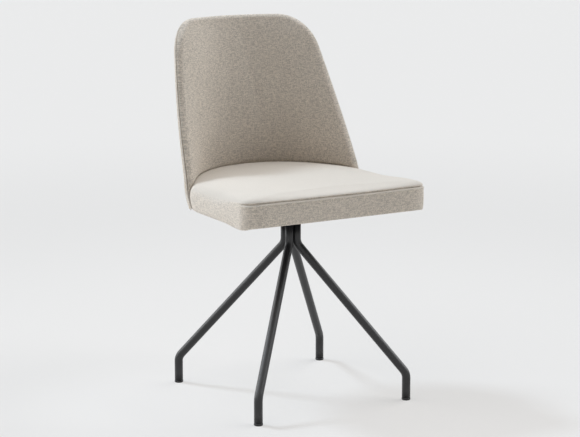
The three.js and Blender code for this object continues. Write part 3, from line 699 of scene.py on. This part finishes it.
def side_spot(share):
    """The right-hand edge of the flat sheet inside its rolled rim, from its foot to its top"""
    low, high = back_bottom_height + back_bottom_corner, back_top_height - back_top_corner
    if share <= bottom_share:
        return corner_spot(low, back_bottom_corner, -quarter + (slant + quarter) * share / bottom_share)
    if share >= top_share:
        turn = slant + (quarter - slant) * (share - top_share) / (1 - top_share)
        return corner_spot(high, back_top_corner, turn)
    start, out = corner_spot(low, back_bottom_corner, slant)
    stop, _ = corner_spot(high, back_top_corner, slant)
    way = (share - bottom_share) / (top_share - bottom_share)
    return (start[0] + (stop[0] - start[0]) * way, start[1] + (stop[1] - start[1]) * way), out


# %% [markdown]
# ## Layers of the back
# A layer starts as a unit grid that is extruded into a slab, and the walls of the slab are cut
# into rings for the rolled rim. Then every vertex is moved to its place on the flat sheet, and
# from there round the wrap. The grid keeps the faces even, which a drawn outline filled with one
# face would not.

# %% Making a layer
back_columns = 112
back_rows = 84
edge_tolerance = 1e-4


def make_layer(name, rim, front_depth, rear_depth, limit=None):
    """A closed layer of the back between two depths, whose edge is rolled along the rim's rings"""
    path = [(0, rear_depth), *rim, (0, front_depth(0, 0, seat_top_height))]
    runs = [0.0]
    for start, stop in zip(path, path[1:]):
        runs.append(runs[-1] + math.dist(start, stop))
    bm = bmesh.new()
    bmesh.ops.create_grid(bm, x_segments=back_columns, y_segments=back_rows, size=1)
    made = bmesh.ops.extrude_face_region(bm, geom=bm.faces[:])
    bmesh.ops.translate(bm, vec=(0, 0, 1), verts=verts_of(made))
    walls = [edge for edge in bm.edges if abs(edge.verts[0].co.z - edge.verts[1].co.z) > 0.5]
    bmesh.ops.subdivide_edges(bm, edges=walls, cuts=len(rim), use_grid_fill=True)
    girth_map = bm.loops.layers.uv.new("weave_map")
    flat = {}
    for vert in bm.verts:
        across, share, level = vert.co.x, (vert.co.y + 1) / 2, vert.co.z
        (girth, height), out = side_spot(share)
        girth *= across
        sideways = math.copysign(out[0], across) if abs(abs(across) - 1) < edge_tolerance else 0
        ring = round(level * (len(rim) + 1))
        reach, depth = path[ring]
        thickness = front_depth(across, girth, height)
        if ring > len(rim):
            depth = thickness
        elif depth > back_edge_radius:
            depth += (depth / back_edge_radius - 1) * (thickness - back_thickness)
        along = min(runs[ring], runs[-1] - runs[ring])
        flat[vert] = (girth + sideways * along, height + out[1] * along)
        girth += sideways * reach
        height += out[1] * reach
        if limit and ring:
            depth = min(depth, limit(girth, height))
        vert.co = wrap(girth, height, depth)
    for face in bm.faces:
        for loop in face.loops:
            loop[girth_map].uv = flat[loop.vert]
    return make_object(bm, name)


def arc_rim(radius, start, stop, steps):
    """Reach and depth of rings on the rolled rim, from one angle to another"""
    turns = [start + (stop - start) * step / (steps - 1) for step in range(steps)]
    return [(radius * math.sin(turn), back_edge_radius - radius * math.cos(turn)) for turn in turns]


# %% [markdown]
# ## The bent shell
# Under the covers is a sheet of plywood, bent in a press. It is a layer like the others, a little
# smaller all round, so that the covers have room to turn over its edge.

# %% Shell
shell_rear_depth, shell_front_depth = 1.5 * MM, 7.2 * MM
shell_rim = [(5.4 * MM, 1.8 * MM), (6.2 * MM, 2.6 * MM), (6.2 * MM, 6.1 * MM), (5.4 * MM, 6.9 * MM)]
bent_shell = make_layer("bent_shell", shell_rim,
                        lambda across, girth, height: shell_front_depth, shell_rear_depth)
bent_shell.data.set_sharp_from_angle(angle=math.radians(35))
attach(bent_shell, "seat")
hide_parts("back_shell")
print("shell faces:", len(bent_shell.data.polygons))

# %% [markdown]
# ## The padded front of the back
# A thin pad lies on the inside of the bent shell, and its woven cover is drawn tight over it, with
# a slight crown in the middle. The rim is rolled, and the cover goes in at the seam. Where the
# cushion is pressed into the pad, the pad gives way to the cushion's rolled edge. The same cloth
# simulation lets the foam push the cover out a little between its pinned edges.

# %% Inner pad
seam_turn = math.radians(76)
pad_rear_depth = 7.6 * MM
flap_depth = 8.4 * MM
pad_clearance = 1.0 * MM
wing_roll_thickness = 10 * MM
wing_roll_reach = 52 * MM
wing_roll_fade_start, wing_roll_fade_end = 50 * MM, 200 * MM
wing_roll_top_share = 0.15
pad_rim_rings, pad_rim_end = 8, math.pi * 0.96
pad_pin_reach = 8 * MM
pad_facing_share = 0.85
pad_swell = 2.5 * MM


def cushion_reach(turn, height):
    """How far the cushion reaches from the centre of its round rear, one way at one height"""
    tuck, roll, low, high = cushion_edge(0, 0, (math.sin(turn), math.cos(turn)))
    if height > high + roll or height < low - tuck:
        return 0.0
    if height > high:
        return seat_rear_radius - roll + math.sqrt(roll ** 2 - (height - high) ** 2)
    if height < low:
        return seat_rear_radius - tuck + math.sqrt(tuck ** 2 - (low - height) ** 2)
    return seat_rear_radius


def pad_limit(girth, height):
    """The depth that the pad may have beside the cushion"""
    if height < seat_bottom_height + seat_rear_tuck:
        return flap_depth
    turn = min(abs(girth) / back_outer_radius, quarter)
    return max(flap_depth, back_outer_radius - cushion_reach(turn, height) - pad_clearance)


def pad_depth(across, girth, height):
    """Thickness of the pad at a spot: it has a crown in the middle and a thicker roll along the wings"""
    share = min(1, max(0, (height - seat_top_height) / (back_top_height - seat_top_height)))
    from_edge = edge_girth(height) - abs(girth)
    rise = 1 - max(0, 1 - from_edge / wing_roll_reach) ** 2
    roll = wing_roll_thickness * rise * (1 - ease(from_edge, wing_roll_fade_start, wing_roll_fade_end))
    crown = back_crown * math.sin(math.pi * share) * (1 - across ** 2)
    return back_thickness + crown + roll * ease(1 - share, 0, wing_roll_top_share)


pad_rim = [(6.6 * MM, pad_rear_depth), (7.4 * MM, 7.1 * MM)]
pad_rim += arc_rim(back_edge_radius, seam_turn, pad_rim_end, pad_rim_rings)
inner_pad = make_layer("back_inner_cushion", pad_rim, pad_depth, pad_rear_depth, pad_limit)


def rounded(place):
    return tuple(round(value, 6) for value in place)


def pad_hold(piece):
    """Only the front of the pad is free to swell, above the cushion and inside the rim"""
    front = {vert.index for vert in piece.data.vertices if vert.co.z > seat_top_height + pad_pin_reach}
    for face in piece.data.polygons:
        inward = Vector((-face.center.x, seat_rear_centre - face.center.y, 0))
        if face.normal.dot(inward.normalized()) < pad_facing_share:
            front -= set(face.vertices)
    places = {rounded(piece.data.vertices[index].co) for index in front}
    return lambda place: 0.0 if rounded(place) in places else 1.0


swell(inner_pad, pad_hold(inner_pad), pad_swell)
refine(inner_pad)
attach(inner_pad, "seat")
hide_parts("back_pad", "back_inner_cover")
print("inner cushion faces:", len(inner_pad.data.polygons))

# %% [markdown]
# ## The outer cover of the back
# The rear of the shell has a cover of its own, drawn flat and tight and rolled round the edge to
# the seam. It is a thin closed skin, so it can't show the shell through an open edge.

# %% Outer cover
cover_thickness = 1.2 * MM
cover_start, cover_stop = 0.12, math.radians(70)
cover_rings = 7
cover_rim = arc_rim(back_edge_radius, cover_start, cover_stop, cover_rings)
cover_rim += arc_rim(back_edge_radius - cover_thickness, cover_stop, cover_start, cover_rings)
outer_cover = make_layer("back_outer_cloth", cover_rim, lambda across, girth, height: cover_thickness, 0)
refine(outer_cover)
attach(outer_cover, "seat")
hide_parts("back_outer_cover")
print("outer cover faces:", len(outer_cover.data.polygons))

# %% [markdown]
# ## The dust cloth
# A thin black cloth is stapled under the board, round the mounting plate. It is cut from the same
# outline, with the plate's square opening, and hangs by a hair between its edges.

# %% Dust cloth
cloth_thickness = 0.9 * MM
cloth_sag = 1.2 * MM
opening_half_size = 88.3 * MM
opening_corner_cut = 10.5 * MM
cloth_cuts = 4


def add_loop(bm, spots, height):
    verts = [bm.verts.new((x, y, height)) for x, y in spots]
    return [bm.edges.new((vert, verts[i - 1])) for i, vert in enumerate(verts)]


def opening_spot(x, y):
    """The spot of the plate's opening that lies in the same direction from the middle"""
    widest = max(abs(x), abs(y)) / opening_half_size
    cut = (abs(x) + abs(y)) / (2 * opening_half_size - opening_corner_cut)
    return x / max(widest, cut), y / max(widest, cut)


def make_dust_cloth():
    bm = bmesh.new()
    top = cloth_highest.z
    loops = add_loop(bm, cloth_edge, top) + add_loop(bm, [opening_spot(x, y) for x, y in cloth_edge], top)
    across = bmesh.ops.bridge_loops(bm, edges=loops)["edges"]
    bmesh.ops.subdivide_edges(bm, edges=across, cuts=cloth_cuts, use_grid_fill=True)
    if sum(face.normal.z for face in bm.faces) < 0:
        bmesh.ops.reverse_faces(bm, faces=bm.faces)
    for vert in bm.verts:
        if not vert.is_boundary:
            vert.co.z -= cloth_sag
    cloth = make_object(bm, "under_cloth")
    skin = cloth.modifiers.new("skin", "SOLIDIFY")
    skin.thickness = cloth_thickness
    skin.offset = -1
    apply_modifiers(cloth)
    return cloth


dust_cloth = make_dust_cloth()
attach(dust_cloth, "seat")
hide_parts("seat_dust_cloth")
print("dust cloth faces:", len(dust_cloth.data.polygons))

# %% [markdown]
# ## Node groups
# Several finishes share the same effects, so each effect is a shader node group that is built once
# and placed in each material with its own values.

# %% Helpers for node groups
def new_group(name, inputs, outputs):
    group = bpy.data.node_groups.new(name, "ShaderNodeTree")
    for socket_name, kind, value in inputs:
        socket = group.interface.new_socket(name=socket_name, in_out="INPUT", socket_type=kind)
        if value is not None:
            socket.default_value = value
    for socket_name, kind in outputs:
        group.interface.new_socket(name=socket_name, in_out="OUTPUT", socket_type=kind)
    entry = group.nodes.new("NodeGroupInput")
    leave = group.nodes.new("NodeGroupOutput")
    return group, entry, leave


def add_node(tree, kind, **settings):
    node = tree.nodes.new(kind)
    for name, value in settings.items():
        setattr(node, name, value)
    return node


def set_inputs(node, values):
    for name, value in values.items():
        node.inputs[name].default_value = value


def math_node(tree, operation, first, second=None):
    node = add_node(tree, "ShaderNodeMath", operation=operation)
    for socket, value in zip(node.inputs, (first, second)):
        if isinstance(value, (int, float)):
            socket.default_value = value
        elif value is not None:
            tree.links.new(value, socket)
    return node.outputs[0]


def multiply(tree, first, second):
    return math_node(tree, "MULTIPLY", first, second)


def add(tree, first, second):
    return math_node(tree, "ADD", first, second)


def noise_at(tree, vector, scale, detail=2.0, roughness=0.5):
    node = add_node(tree, "ShaderNodeTexNoise")
    tree.links.new(vector, node.inputs["Vector"])
    set_inputs(node, {"Scale": scale, "Detail": detail, "Roughness": roughness})
    return node.outputs["Fac"]


def stretched(tree, vector, scale):
    node = add_node(tree, "ShaderNodeMapping")
    tree.links.new(vector, node.inputs["Vector"])
    node.inputs["Scale"].default_value = scale
    return node.outputs["Vector"]


def remap(tree, value, low, high, new_low, new_high):
    node = add_node(tree, "ShaderNodeMapRange")
    tree.links.new(value, node.inputs["Value"])
    set_inputs(node, {"From Min": low, "From Max": high, "To Min": new_low, "To Max": new_high})
    return node.outputs["Result"]


def mix_colour(tree, share, first, second):
    node = add_node(tree, "ShaderNodeMix", data_type="RGBA")
    for name, value in (("Factor", share), ("A", first), ("B", second)):
        if isinstance(value, (int, float, tuple)):
            node.inputs[name].default_value = value
        else:
            tree.links.new(value, node.inputs[name])
    return node.outputs["Result"]


# %% [markdown]
# ## The weave
# The cloth is a plain weave of thick melange yarn: light and dark fibres are spun together, so
# each stretch of yarn has a tone of its own. The group lays two sets of yarn across each other,
# lets them pass over and under by turns, and gives every stretch its own tone from noise that is
# drawn out along the yarn. The place is wavered a little first, as no real yarn runs dead straight.

# %% Weave group
RGB = "NodeSocketColor"
NUMBER = "NodeSocketFloat"
VECTOR = "NodeSocketVector"
waver_scale, waver_reach = 70.0, 6 * MM
fine_scales, slub_scales = (900, 260, 300), (420, 95, 150)
fine_tone_share, slub_tone_share, upright_slub_share = 0.7, 0.35, 0.7
middle_tone, tone_reach = 0.6475, 0.13
broad_scale, broad_spread = 14.0, 0.025
# Painted shade in the valleys between the yarns, and painted light on their crowns
valley_shade, ridge_shade = 0.84, 1.06
slub_height_share, yarn_height_share = 0.6, 0.7


def wavering(group, place):
    """The place, moved about a little, so that the yarns don't run dead straight"""
    waver = add_node(group, "ShaderNodeTexNoise")
    waver.inputs["Scale"].default_value = waver_scale
    group.links.new(place, waver.inputs["Vector"])
    shift = add_node(group, "ShaderNodeVectorMath", operation="MULTIPLY_ADD")
    group.links.new(waver.outputs["Color"], shift.inputs[0])
    shift.inputs[1].default_value = (waver_reach, waver_reach, 0.0)
    group.links.new(place, shift.inputs[2])
    return shift.outputs[0]


def crossed_noise(group, place, scales, detail, roughness):
    """Noise that is drawn out along the upright yarns, and noise along the level ones"""
    across, along, deep = scales
    return [noise_at(group, stretched(group, place, scale), 1.0, detail, roughness)
            for scale in ((across, along, deep), (along, across, deep))]


def build_weave():
    group, entry, leave = new_group(
        "melange_weave",
        [("Place", VECTOR, None), ("Yarns per metre", NUMBER, None), ("Light yarn", RGB, None),
         ("Dark yarn", RGB, None), ("Tone spread", NUMBER, None)],
        [("Colour", RGB), ("Height", NUMBER), ("Roughness", NUMBER)])
    place = wavering(group, entry.outputs["Place"])
    split = add_node(group, "ShaderNodeSeparateXYZ")
    group.links.new(place, split.inputs[0])
    counts = [multiply(group, split.outputs[axis], entry.outputs["Yarns per metre"]) for axis in "XY"]
    bows = [math_node(group, "ABSOLUTE", math_node(group, "SINE", multiply(group, count, math.pi)))
            for count in counts]
    parity = add(group, *(math_node(group, "FLOOR", count) for count in counts))
    over = multiply(group, math_node(group, "FRACT", multiply(group, parity, 0.5)), 2.0)
    under = math_node(group, "SUBTRACT", 1.0, over)
    height = add(group, multiply(group, bows[0], over), multiply(group, bows[1], under))
    fine_upright, fine_level = crossed_noise(group, place, fine_scales, 3.0, 0.6)
    slub_upright, slub_level = crossed_noise(group, place, slub_scales, 2.0, 0.55)
    fine = add_node(group, "ShaderNodeMix", data_type="FLOAT")
    group.links.new(over, fine.inputs["Factor"])
    group.links.new(fine_level, fine.inputs["A"])
    group.links.new(fine_upright, fine.inputs["B"])
    slubs = add(group, multiply(group, slub_upright, upright_slub_share), slub_level)
    fine_tone = multiply(group, fine.outputs[0], fine_tone_share)
    tone = add(group, fine_tone, multiply(group, slubs, slub_tone_share))
    centred = multiply(group, math_node(group, "SUBTRACT", tone, middle_tone), entry.outputs["Tone spread"])
    share = remap(group, centred, -tone_reach, tone_reach, 0.0, 1.0)
    broad = remap(group, noise_at(group, place, broad_scale), 0.3, 0.7, 1 - broad_spread, 1 + broad_spread)
    # Painted shade and light: the colour is darker in the valleys between the yarns and a little lighter on
    # their crowns
    shade = remap(group, height, 0.0, 1.0, valley_shade, ridge_shade)
    colour = mix_colour(group, share, entry.outputs["Dark yarn"], entry.outputs["Light yarn"])
    scale = add_node(group, "ShaderNodeVectorMath", operation="SCALE")
    group.links.new(colour, scale.inputs[0])
    group.links.new(multiply(group, broad, shade), scale.inputs["Scale"])
    group.links.new(scale.outputs[0], leave.inputs["Colour"])
    lumps = add(group, multiply(group, slubs, slub_height_share), fine.outputs[0])
    group.links.new(add(group, multiply(group, height, yarn_height_share), lumps), leave.inputs["Height"])
    group.links.new(remap(group, tone, 0.4, 0.9, 0.98, 0.86), leave.inputs["Roughness"])
    return group


weave_group = build_weave()
print("weave nodes:", len(weave_group.nodes))

# %% [markdown]
# ## The grain
# Coated metal and moulded plastic aren't perfectly even: the light breaks on a fine orange peel,
# and fingers leave faint patches. This group gives a small height and a roughness that wanders.

# %% Grain group
def build_grain():
    group, entry, leave = new_group(
        "fine_grain",
        [("Place", VECTOR, None), ("Grain size", NUMBER, 900.0), ("Roughness", NUMBER, 0.5),
         ("Roughness spread", NUMBER, 0.08)],
        [("Height", NUMBER), ("Roughness", NUMBER), ("Patches", NUMBER)])
    place = entry.outputs["Place"]
    peel = add_node(group, "ShaderNodeTexNoise")
    group.links.new(place, peel.inputs["Vector"])
    group.links.new(entry.outputs["Grain size"], peel.inputs["Scale"])
    patches = noise_at(group, place, 28.0, 3.0, 0.6)
    group.links.new(peel.outputs["Fac"], leave.inputs["Height"])
    wander = multiply(group, math_node(group, "SUBTRACT", patches, 0.5), entry.outputs["Roughness spread"])
    group.links.new(add(group, entry.outputs["Roughness"], wander), leave.inputs["Roughness"])
    group.links.new(patches, leave.inputs["Patches"])
    return group


grain_group = build_grain()
print("grain nodes:", len(grain_group.nodes))

# %% Helpers for materials
def new_material(name):
    material = bpy.data.materials.new(name)
    material.use_nodes = True
    tree = material.node_tree
    shader = tree.nodes["Principled BSDF"]
    where = add_node(tree, "ShaderNodeTexCoord")
    return material, tree, shader, where


def bump_from(tree, shader, height, strength, distance):
    bump = add_node(tree, "ShaderNodeBump")
    set_inputs(bump, {"Strength": strength, "Distance": distance})
    tree.links.new(height, bump.inputs["Height"])
    tree.links.new(bump.outputs["Normal"], shader.inputs["Normal"])


# Painted light: where light falls strongly the cloth is mixed towards this paler tone, its spread of tone is
# cut, and its bump is lowered
painted_light_tone = (0.713, 0.663, 0.597, 1)
painted_light_spread_share, painted_light_tone_share, painted_light_height_share = 0.1, 0.6, 0.12


def cloth_material(name, light, dark, yarns, spread):
    material, tree, shader, _ = new_material(name)
    weave = add_node(tree, "ShaderNodeGroup", node_tree=weave_group)
    source = add_node(tree, "ShaderNodeUVMap", uv_map="weave_map")
    tree.links.new(source.outputs["UV"], weave.inputs["Place"])
    set_inputs(weave, {"Yarns per metre": yarns, "Light yarn": light, "Dark yarn": dark})
    # Painted light: the mesh attribute says how far the cloth is painted paler and evener, and how far its
    # bump is lowered
    painted_light = add_node(tree, "ShaderNodeAttribute", attribute_name="painted_light").outputs["Fac"]
    calmer = remap(tree, painted_light, 0.0, 1.0, spread, spread * painted_light_spread_share)
    tree.links.new(calmer, weave.inputs["Tone spread"])
    paler = multiply(tree, painted_light, painted_light_tone_share)
    colour = mix_colour(tree, paler, weave.outputs["Colour"], painted_light_tone)
    tree.links.new(colour, shader.inputs["Base Color"])
    tree.links.new(weave.outputs["Roughness"], shader.inputs["Roughness"])
    set_inputs(shader, {"Sheen Weight": 0.15, "Sheen Roughness": 0.5, "Specular IOR Level": 0.2})
    painted_light_bump = remap(tree, painted_light, 0.0, 1.0, 1.0, painted_light_height_share)
    bump_from(tree, shader, multiply(tree, weave.outputs["Height"], painted_light_bump), 0.5, 0.6 * MM)
    return material


def grained_material(name, colour, second, roughness, metallic=0.0, grain=900.0, bump=0.15, spread=0.08):
    material, tree, shader, where = new_material(name)
    fine = add_node(tree, "ShaderNodeGroup", node_tree=grain_group)
    tree.links.new(where.outputs["Object"], fine.inputs["Place"])
    set_inputs(fine, {"Grain size": grain, "Roughness": roughness, "Roughness spread": spread})
    tree.links.new(mix_colour(tree, fine.outputs["Patches"], colour, second), shader.inputs["Base Color"])
    tree.links.new(fine.outputs["Roughness"], shader.inputs["Roughness"])
    shader.inputs["Metallic"].default_value = metallic
    bump_from(tree, shader, fine.outputs["Height"], bump, 0.2 * MM)
    return material


# %% [markdown]
# ## The map of the weave on the cushion
# The remeshed cushion has no map of its own. Its yarns run straight over the top, and straight
# down the panels, so every face is mapped from the side that it looks to. Painted light makes the
# cloth paler and evener in tone on the top, a little on the side to the sitter's right, and over
# the back's outside, and its bump is lowered there: an attribute of the mesh holds how much.

# %% Cushion map
top_facing_share = 0.6
top_light_start, top_light_end = 0.15, 0.75
side_light_start, side_light_end, side_light_share = 0.4, 0.9, 0.35
outer_light_share = 0.55


def map_cushion(piece):
    layer = piece.data.uv_layers.new(name="weave_map")
    mesh = piece.data
    for face in mesh.polygons:
        facing = [abs(value) for value in face.normal]
        for index in face.loop_indices:
            place = mesh.vertices[mesh.loops[index].vertex_index].co
            if facing[2] > top_facing_share:
                spot = (place.x, place.y)
            elif facing[1] >= facing[0]:
                spot = (place.x, place.z)
            else:
                spot = (place.y, place.z)
            layer.data[index].uv = spot


def cushion_painted_light(normal):
    """Painted light: the top is painted paler and evener, and the side on the sitter's right a little"""
    side = side_light_share * ease(-normal.x, side_light_start, side_light_end)
    return max(ease(normal.z, top_light_start, top_light_end), side)


def store_painted_light(piece, share_at):
    painted_light = piece.data.attributes.new(name="painted_light", type="FLOAT", domain="POINT")
    for vert in piece.data.vertices:
        painted_light.data[vert.index].value = share_at(vert.normal)


map_cushion(cushion)
store_painted_light(cushion, cushion_painted_light)
# Painted light: the back's outside is painted paler and evener all over
store_painted_light(outer_cover, lambda normal: outer_light_share)
print("brushed points:", len(cushion.data.vertices) + len(outer_cover.data.vertices))

# %% Finishes
fabric = cloth_material("melange_cloth", light=(0.92, 0.825, 0.71, 1), dark=(0.585, 0.52, 0.445, 1),
                        yarns=620.0, spread=2.6)
black_steel = grained_material("black_powder_coat", (0.02, 0.02, 0.021, 1), (0.028, 0.028, 0.029, 1),
                               roughness=0.36)
glide_plastic = grained_material("glide_plastic", (0.018, 0.018, 0.019, 1), (0.026, 0.026, 0.027, 1),
                                 roughness=0.5)
zinc_steel = grained_material("bright_zinc", (0.62, 0.63, 0.64, 1), (0.7, 0.7, 0.7, 1),
                              roughness=0.34, metallic=1.0, grain=400.0, bump=0.1, spread=0.2)
turned_steel = grained_material("turned_steel", (0.46, 0.47, 0.48, 1), (0.56, 0.56, 0.56, 1),
                                roughness=0.28, metallic=1.0, grain=1500.0, bump=0.1, spread=0.2)
bush_plastic = grained_material("bush_acetal", (0.76, 0.73, 0.66, 1), (0.8, 0.78, 0.72, 1), roughness=0.4)
under_black = grained_material("non_woven_black", (0.02, 0.02, 0.02, 1), (0.035, 0.035, 0.035, 1),
                               roughness=0.9, grain=2200.0, bump=0.5)

# %% [markdown]
# ## Plywood
# The board and the bent shell are birch plywood. Its face grain is long streaks, which are noise
# drawn out along the board, and its edges show thin dark glue lines between the veneers.

# %% Plywood
long_grain, cross_grain = 30, 600
veneer_thickness = 1.4 * MM
glue_start, glue_share = 0.86, 0.35
wood_dark, wood_light, glue_colour = (0.52, 0.36, 0.2, 1), (0.66, 0.5, 0.31, 1), (0.2, 0.12, 0.06, 1)


def plywood_material(name, grain_scale, layer_axis):
    material, tree, shader, where = new_material(name)
    place = where.outputs["Object"]
    streaks = noise_at(tree, stretched(tree, place, grain_scale), 1.0, 5.0, 0.6)
    colour = mix_colour(tree, remap(tree, streaks, 0.3, 0.7, 0.0, 1.0), wood_dark, wood_light)
    split = add_node(tree, "ShaderNodeSeparateXYZ")
    tree.links.new(place, split.inputs[0])
    veneers = math_node(tree, "FRACT", multiply(tree, split.outputs[layer_axis], 1 / veneer_thickness))
    glue = multiply(tree, math_node(tree, "GREATER_THAN", veneers, glue_start), glue_share)
    tree.links.new(mix_colour(tree, glue, colour, glue_colour), shader.inputs["Base Color"])
    shader.inputs["Roughness"].default_value = 0.62
    bump_from(tree, shader, streaks, 0.2, 0.3 * MM)
    return material


board_wood = plywood_material("board_plywood", (long_grain, cross_grain, cross_grain), "Z")
shell_wood = plywood_material("shell_plywood", (cross_grain, cross_grain, long_grain), "Y")
print("plywood finishes:", board_wood.name, "and", shell_wood.name)

# %% Painting the pieces
def paint(piece, material):
    piece.data.materials.clear()
    piece.data.materials.append(material)


# The foam is always under a cover, so it has no finish of its own
slot_finishes = {
    "black_steel": black_steel,
    "zinc_steel": zinc_steel,
    "turned_steel": turned_steel,
    "glide_plastic": glide_plastic,
    "bush_plastic": bush_plastic,
    "plywood": board_wood,
    "foam": bush_plastic,
    "woven_fabric": fabric,
    "dust_cloth": under_black,
}

for entry in frame["record"]["subparts"]:
    paint(nodes[entry["node"]], slot_finishes[entry["material_slot"]])
paint(bent_shell, shell_wood)
for leg in legs:
    paint(leg, black_steel)
for glide in glides:
    paint(glide, glide_plastic)
for piece in (cushion, inner_pad, outer_cover):
    paint(piece, fabric)
paint(dust_cloth, under_black)
print("materials:", len(bpy.data.materials))

# %% [markdown]
# ## The studio
# The photograph has a pale seamless floor. The floor is one large plane. What the camera sees of
# it is partly pale colour, with painted shade in a broad ring round the chair and painted light in
# two soft patches near it, so that its shadows stay as faint as in the photograph, and the light
# that it throws back on the chair is that of a real floor.

# %% Floor
def straight_view(tree):
    """One where the camera sees a surface, or sees it mirrored in another"""
    path = add_node(tree, "ShaderNodeLightPath")
    return math_node(tree, "MAXIMUM", path.outputs["Is Camera Ray"], path.outputs["Is Glossy Ray"])


floor_half_size = 15
floor_pale = (0.845, 0.845, 0.845, 1)
# Painted shade: the floor's pale colour dims in a broad ring round the chair, darkest two metres out
floor_painted_shade = (0.775, 0.775, 0.775, 1)
floor_keep_share = 0.55
floor_tone_reach = 4
near_share, painted_shade_share, far_share = 0.2, 0.5, 0.9
# Painted light: two soft patches of the floor glow more, where they lift the chair's soft shadows
painted_light_patches = (((-0.33, 0.06, 0), 0.44, 0.2), ((0.35, -0.8, 0), 0.95, 0.1))


def painted_light_gain(tree, where, place, reach, gain):
    """A soft round patch of the floor that glows a little more: painted light that lifts the chair's soft
    shadows there
    """
    distance = add_node(tree, "ShaderNodeVectorMath", operation="DISTANCE")
    tree.links.new(where.outputs["Object"], distance.inputs[0])
    distance.inputs[1].default_value = place
    fade = add_node(tree, "ShaderNodeMapRange", interpolation_type="SMOOTHERSTEP")
    set_inputs(fade, {"From Max": reach, "To Min": gain, "To Max": 0})
    tree.links.new(distance.outputs["Value"], fade.inputs["Value"])
    return fade.outputs["Result"]


def make_floor():
    bm = bmesh.new()
    bmesh.ops.create_grid(bm, x_segments=1, y_segments=1, size=floor_half_size)
    floor = make_object(bm, "studio_floor")
    material, tree, shader, where = new_material("studio_floor")
    distance = add_node(tree, "ShaderNodeVectorMath", operation="LENGTH")
    tree.links.new(where.outputs["Object"], distance.inputs[0])
    ramp = add_node(tree, "ShaderNodeValToRGB")
    ramp.color_ramp.interpolation = "EASE"
    for element, share in zip(ramp.color_ramp.elements, (near_share, far_share)):
        element.position = share
        element.color = floor_pale
    ramp.color_ramp.elements.new(painted_shade_share).color = floor_painted_shade
    tree.links.new(multiply(tree, distance.outputs["Value"], 1 / floor_tone_reach), ramp.inputs["Fac"])
    set_inputs(shader, {"Base Color": (0.755, 0.725, 0.69, 1), "Roughness": 0.9, "Specular IOR Level": 0.1})
    glow = add_node(tree, "ShaderNodeEmission")
    tree.links.new(ramp.outputs["Color"], glow.inputs["Color"])
    near, front = (painted_light_gain(tree, where, *patch) for patch in painted_light_patches)
    tree.links.new(add(tree, add(tree, near, front), 1.0), glow.inputs["Strength"])
    mix = add_node(tree, "ShaderNodeMixShader")
    tree.links.new(multiply(tree, straight_view(tree), floor_keep_share), mix.inputs["Fac"])
    tree.links.new(shader.outputs[0], mix.inputs[1])
    tree.links.new(glow.outputs[0], mix.inputs[2])
    tree.links.new(mix.outputs[0], tree.nodes["Material Output"].inputs["Surface"])
    paint(floor, material)


make_floor()

# %% [markdown]
# ## Light
# The shadows on the floor show where the main light stands: behind the chair and to its left, half
# way up the sky, and large enough to soften the edges. The wing's inside is brightest on the left
# of the picture, so a broad light also stands high on the right. Weaker panels stand on the left
# and low behind the back, where they fill the shadows.

# %% Lights
lamp_distance = 3


def add_sun(name, way, strength, spread, colour):
    data = bpy.data.lights.new(name, "SUN")
    data.energy = strength
    data.angle = math.radians(spread)
    data.color = colour
    lamp = bpy.data.objects.new(name, data)
    lamp.rotation_mode = "QUATERNION"
    lamp.rotation_quaternion = Vector(way).to_track_quat("-Z", "Y")
    lamp.location = -Vector(way) * lamp_distance
    bpy.context.scene.collection.objects.link(lamp)


add_sun("key_light", (0.43, -0.72, -1), strength=1.36, spread=11, colour=(0.85, 1.0, 1.17))
add_sun("right_panel", (-1.0, 0.1, -1.0), strength=2.12, spread=60, colour=(0.98, 1.0, 1.02))
add_sun("rear_left_panel", (0.7, -0.7, -0.4), strength=1.13, spread=40, colour=(0.98, 1.0, 1.02))
add_sun("left_panel", (1.0, 0.1, -1.0), strength=0.72, spread=60, colour=(1.01, 1.0, 1.0))
sky_colour = (0.0, 0.0, 0.0, 1)
sky_seen = (0.845, 0.845, 0.845, 1)

world = bpy.data.worlds.new("studio_sky")
bpy.context.scene.world = world
world.use_nodes = True
sky_tree = world.node_tree
sky = sky_tree.nodes["Background"]
sky_tree.links.new(mix_colour(sky_tree, straight_view(sky_tree), sky_colour, sky_seen), sky.inputs["Color"])

bpy.context.scene.view_settings.view_transform = "Standard"
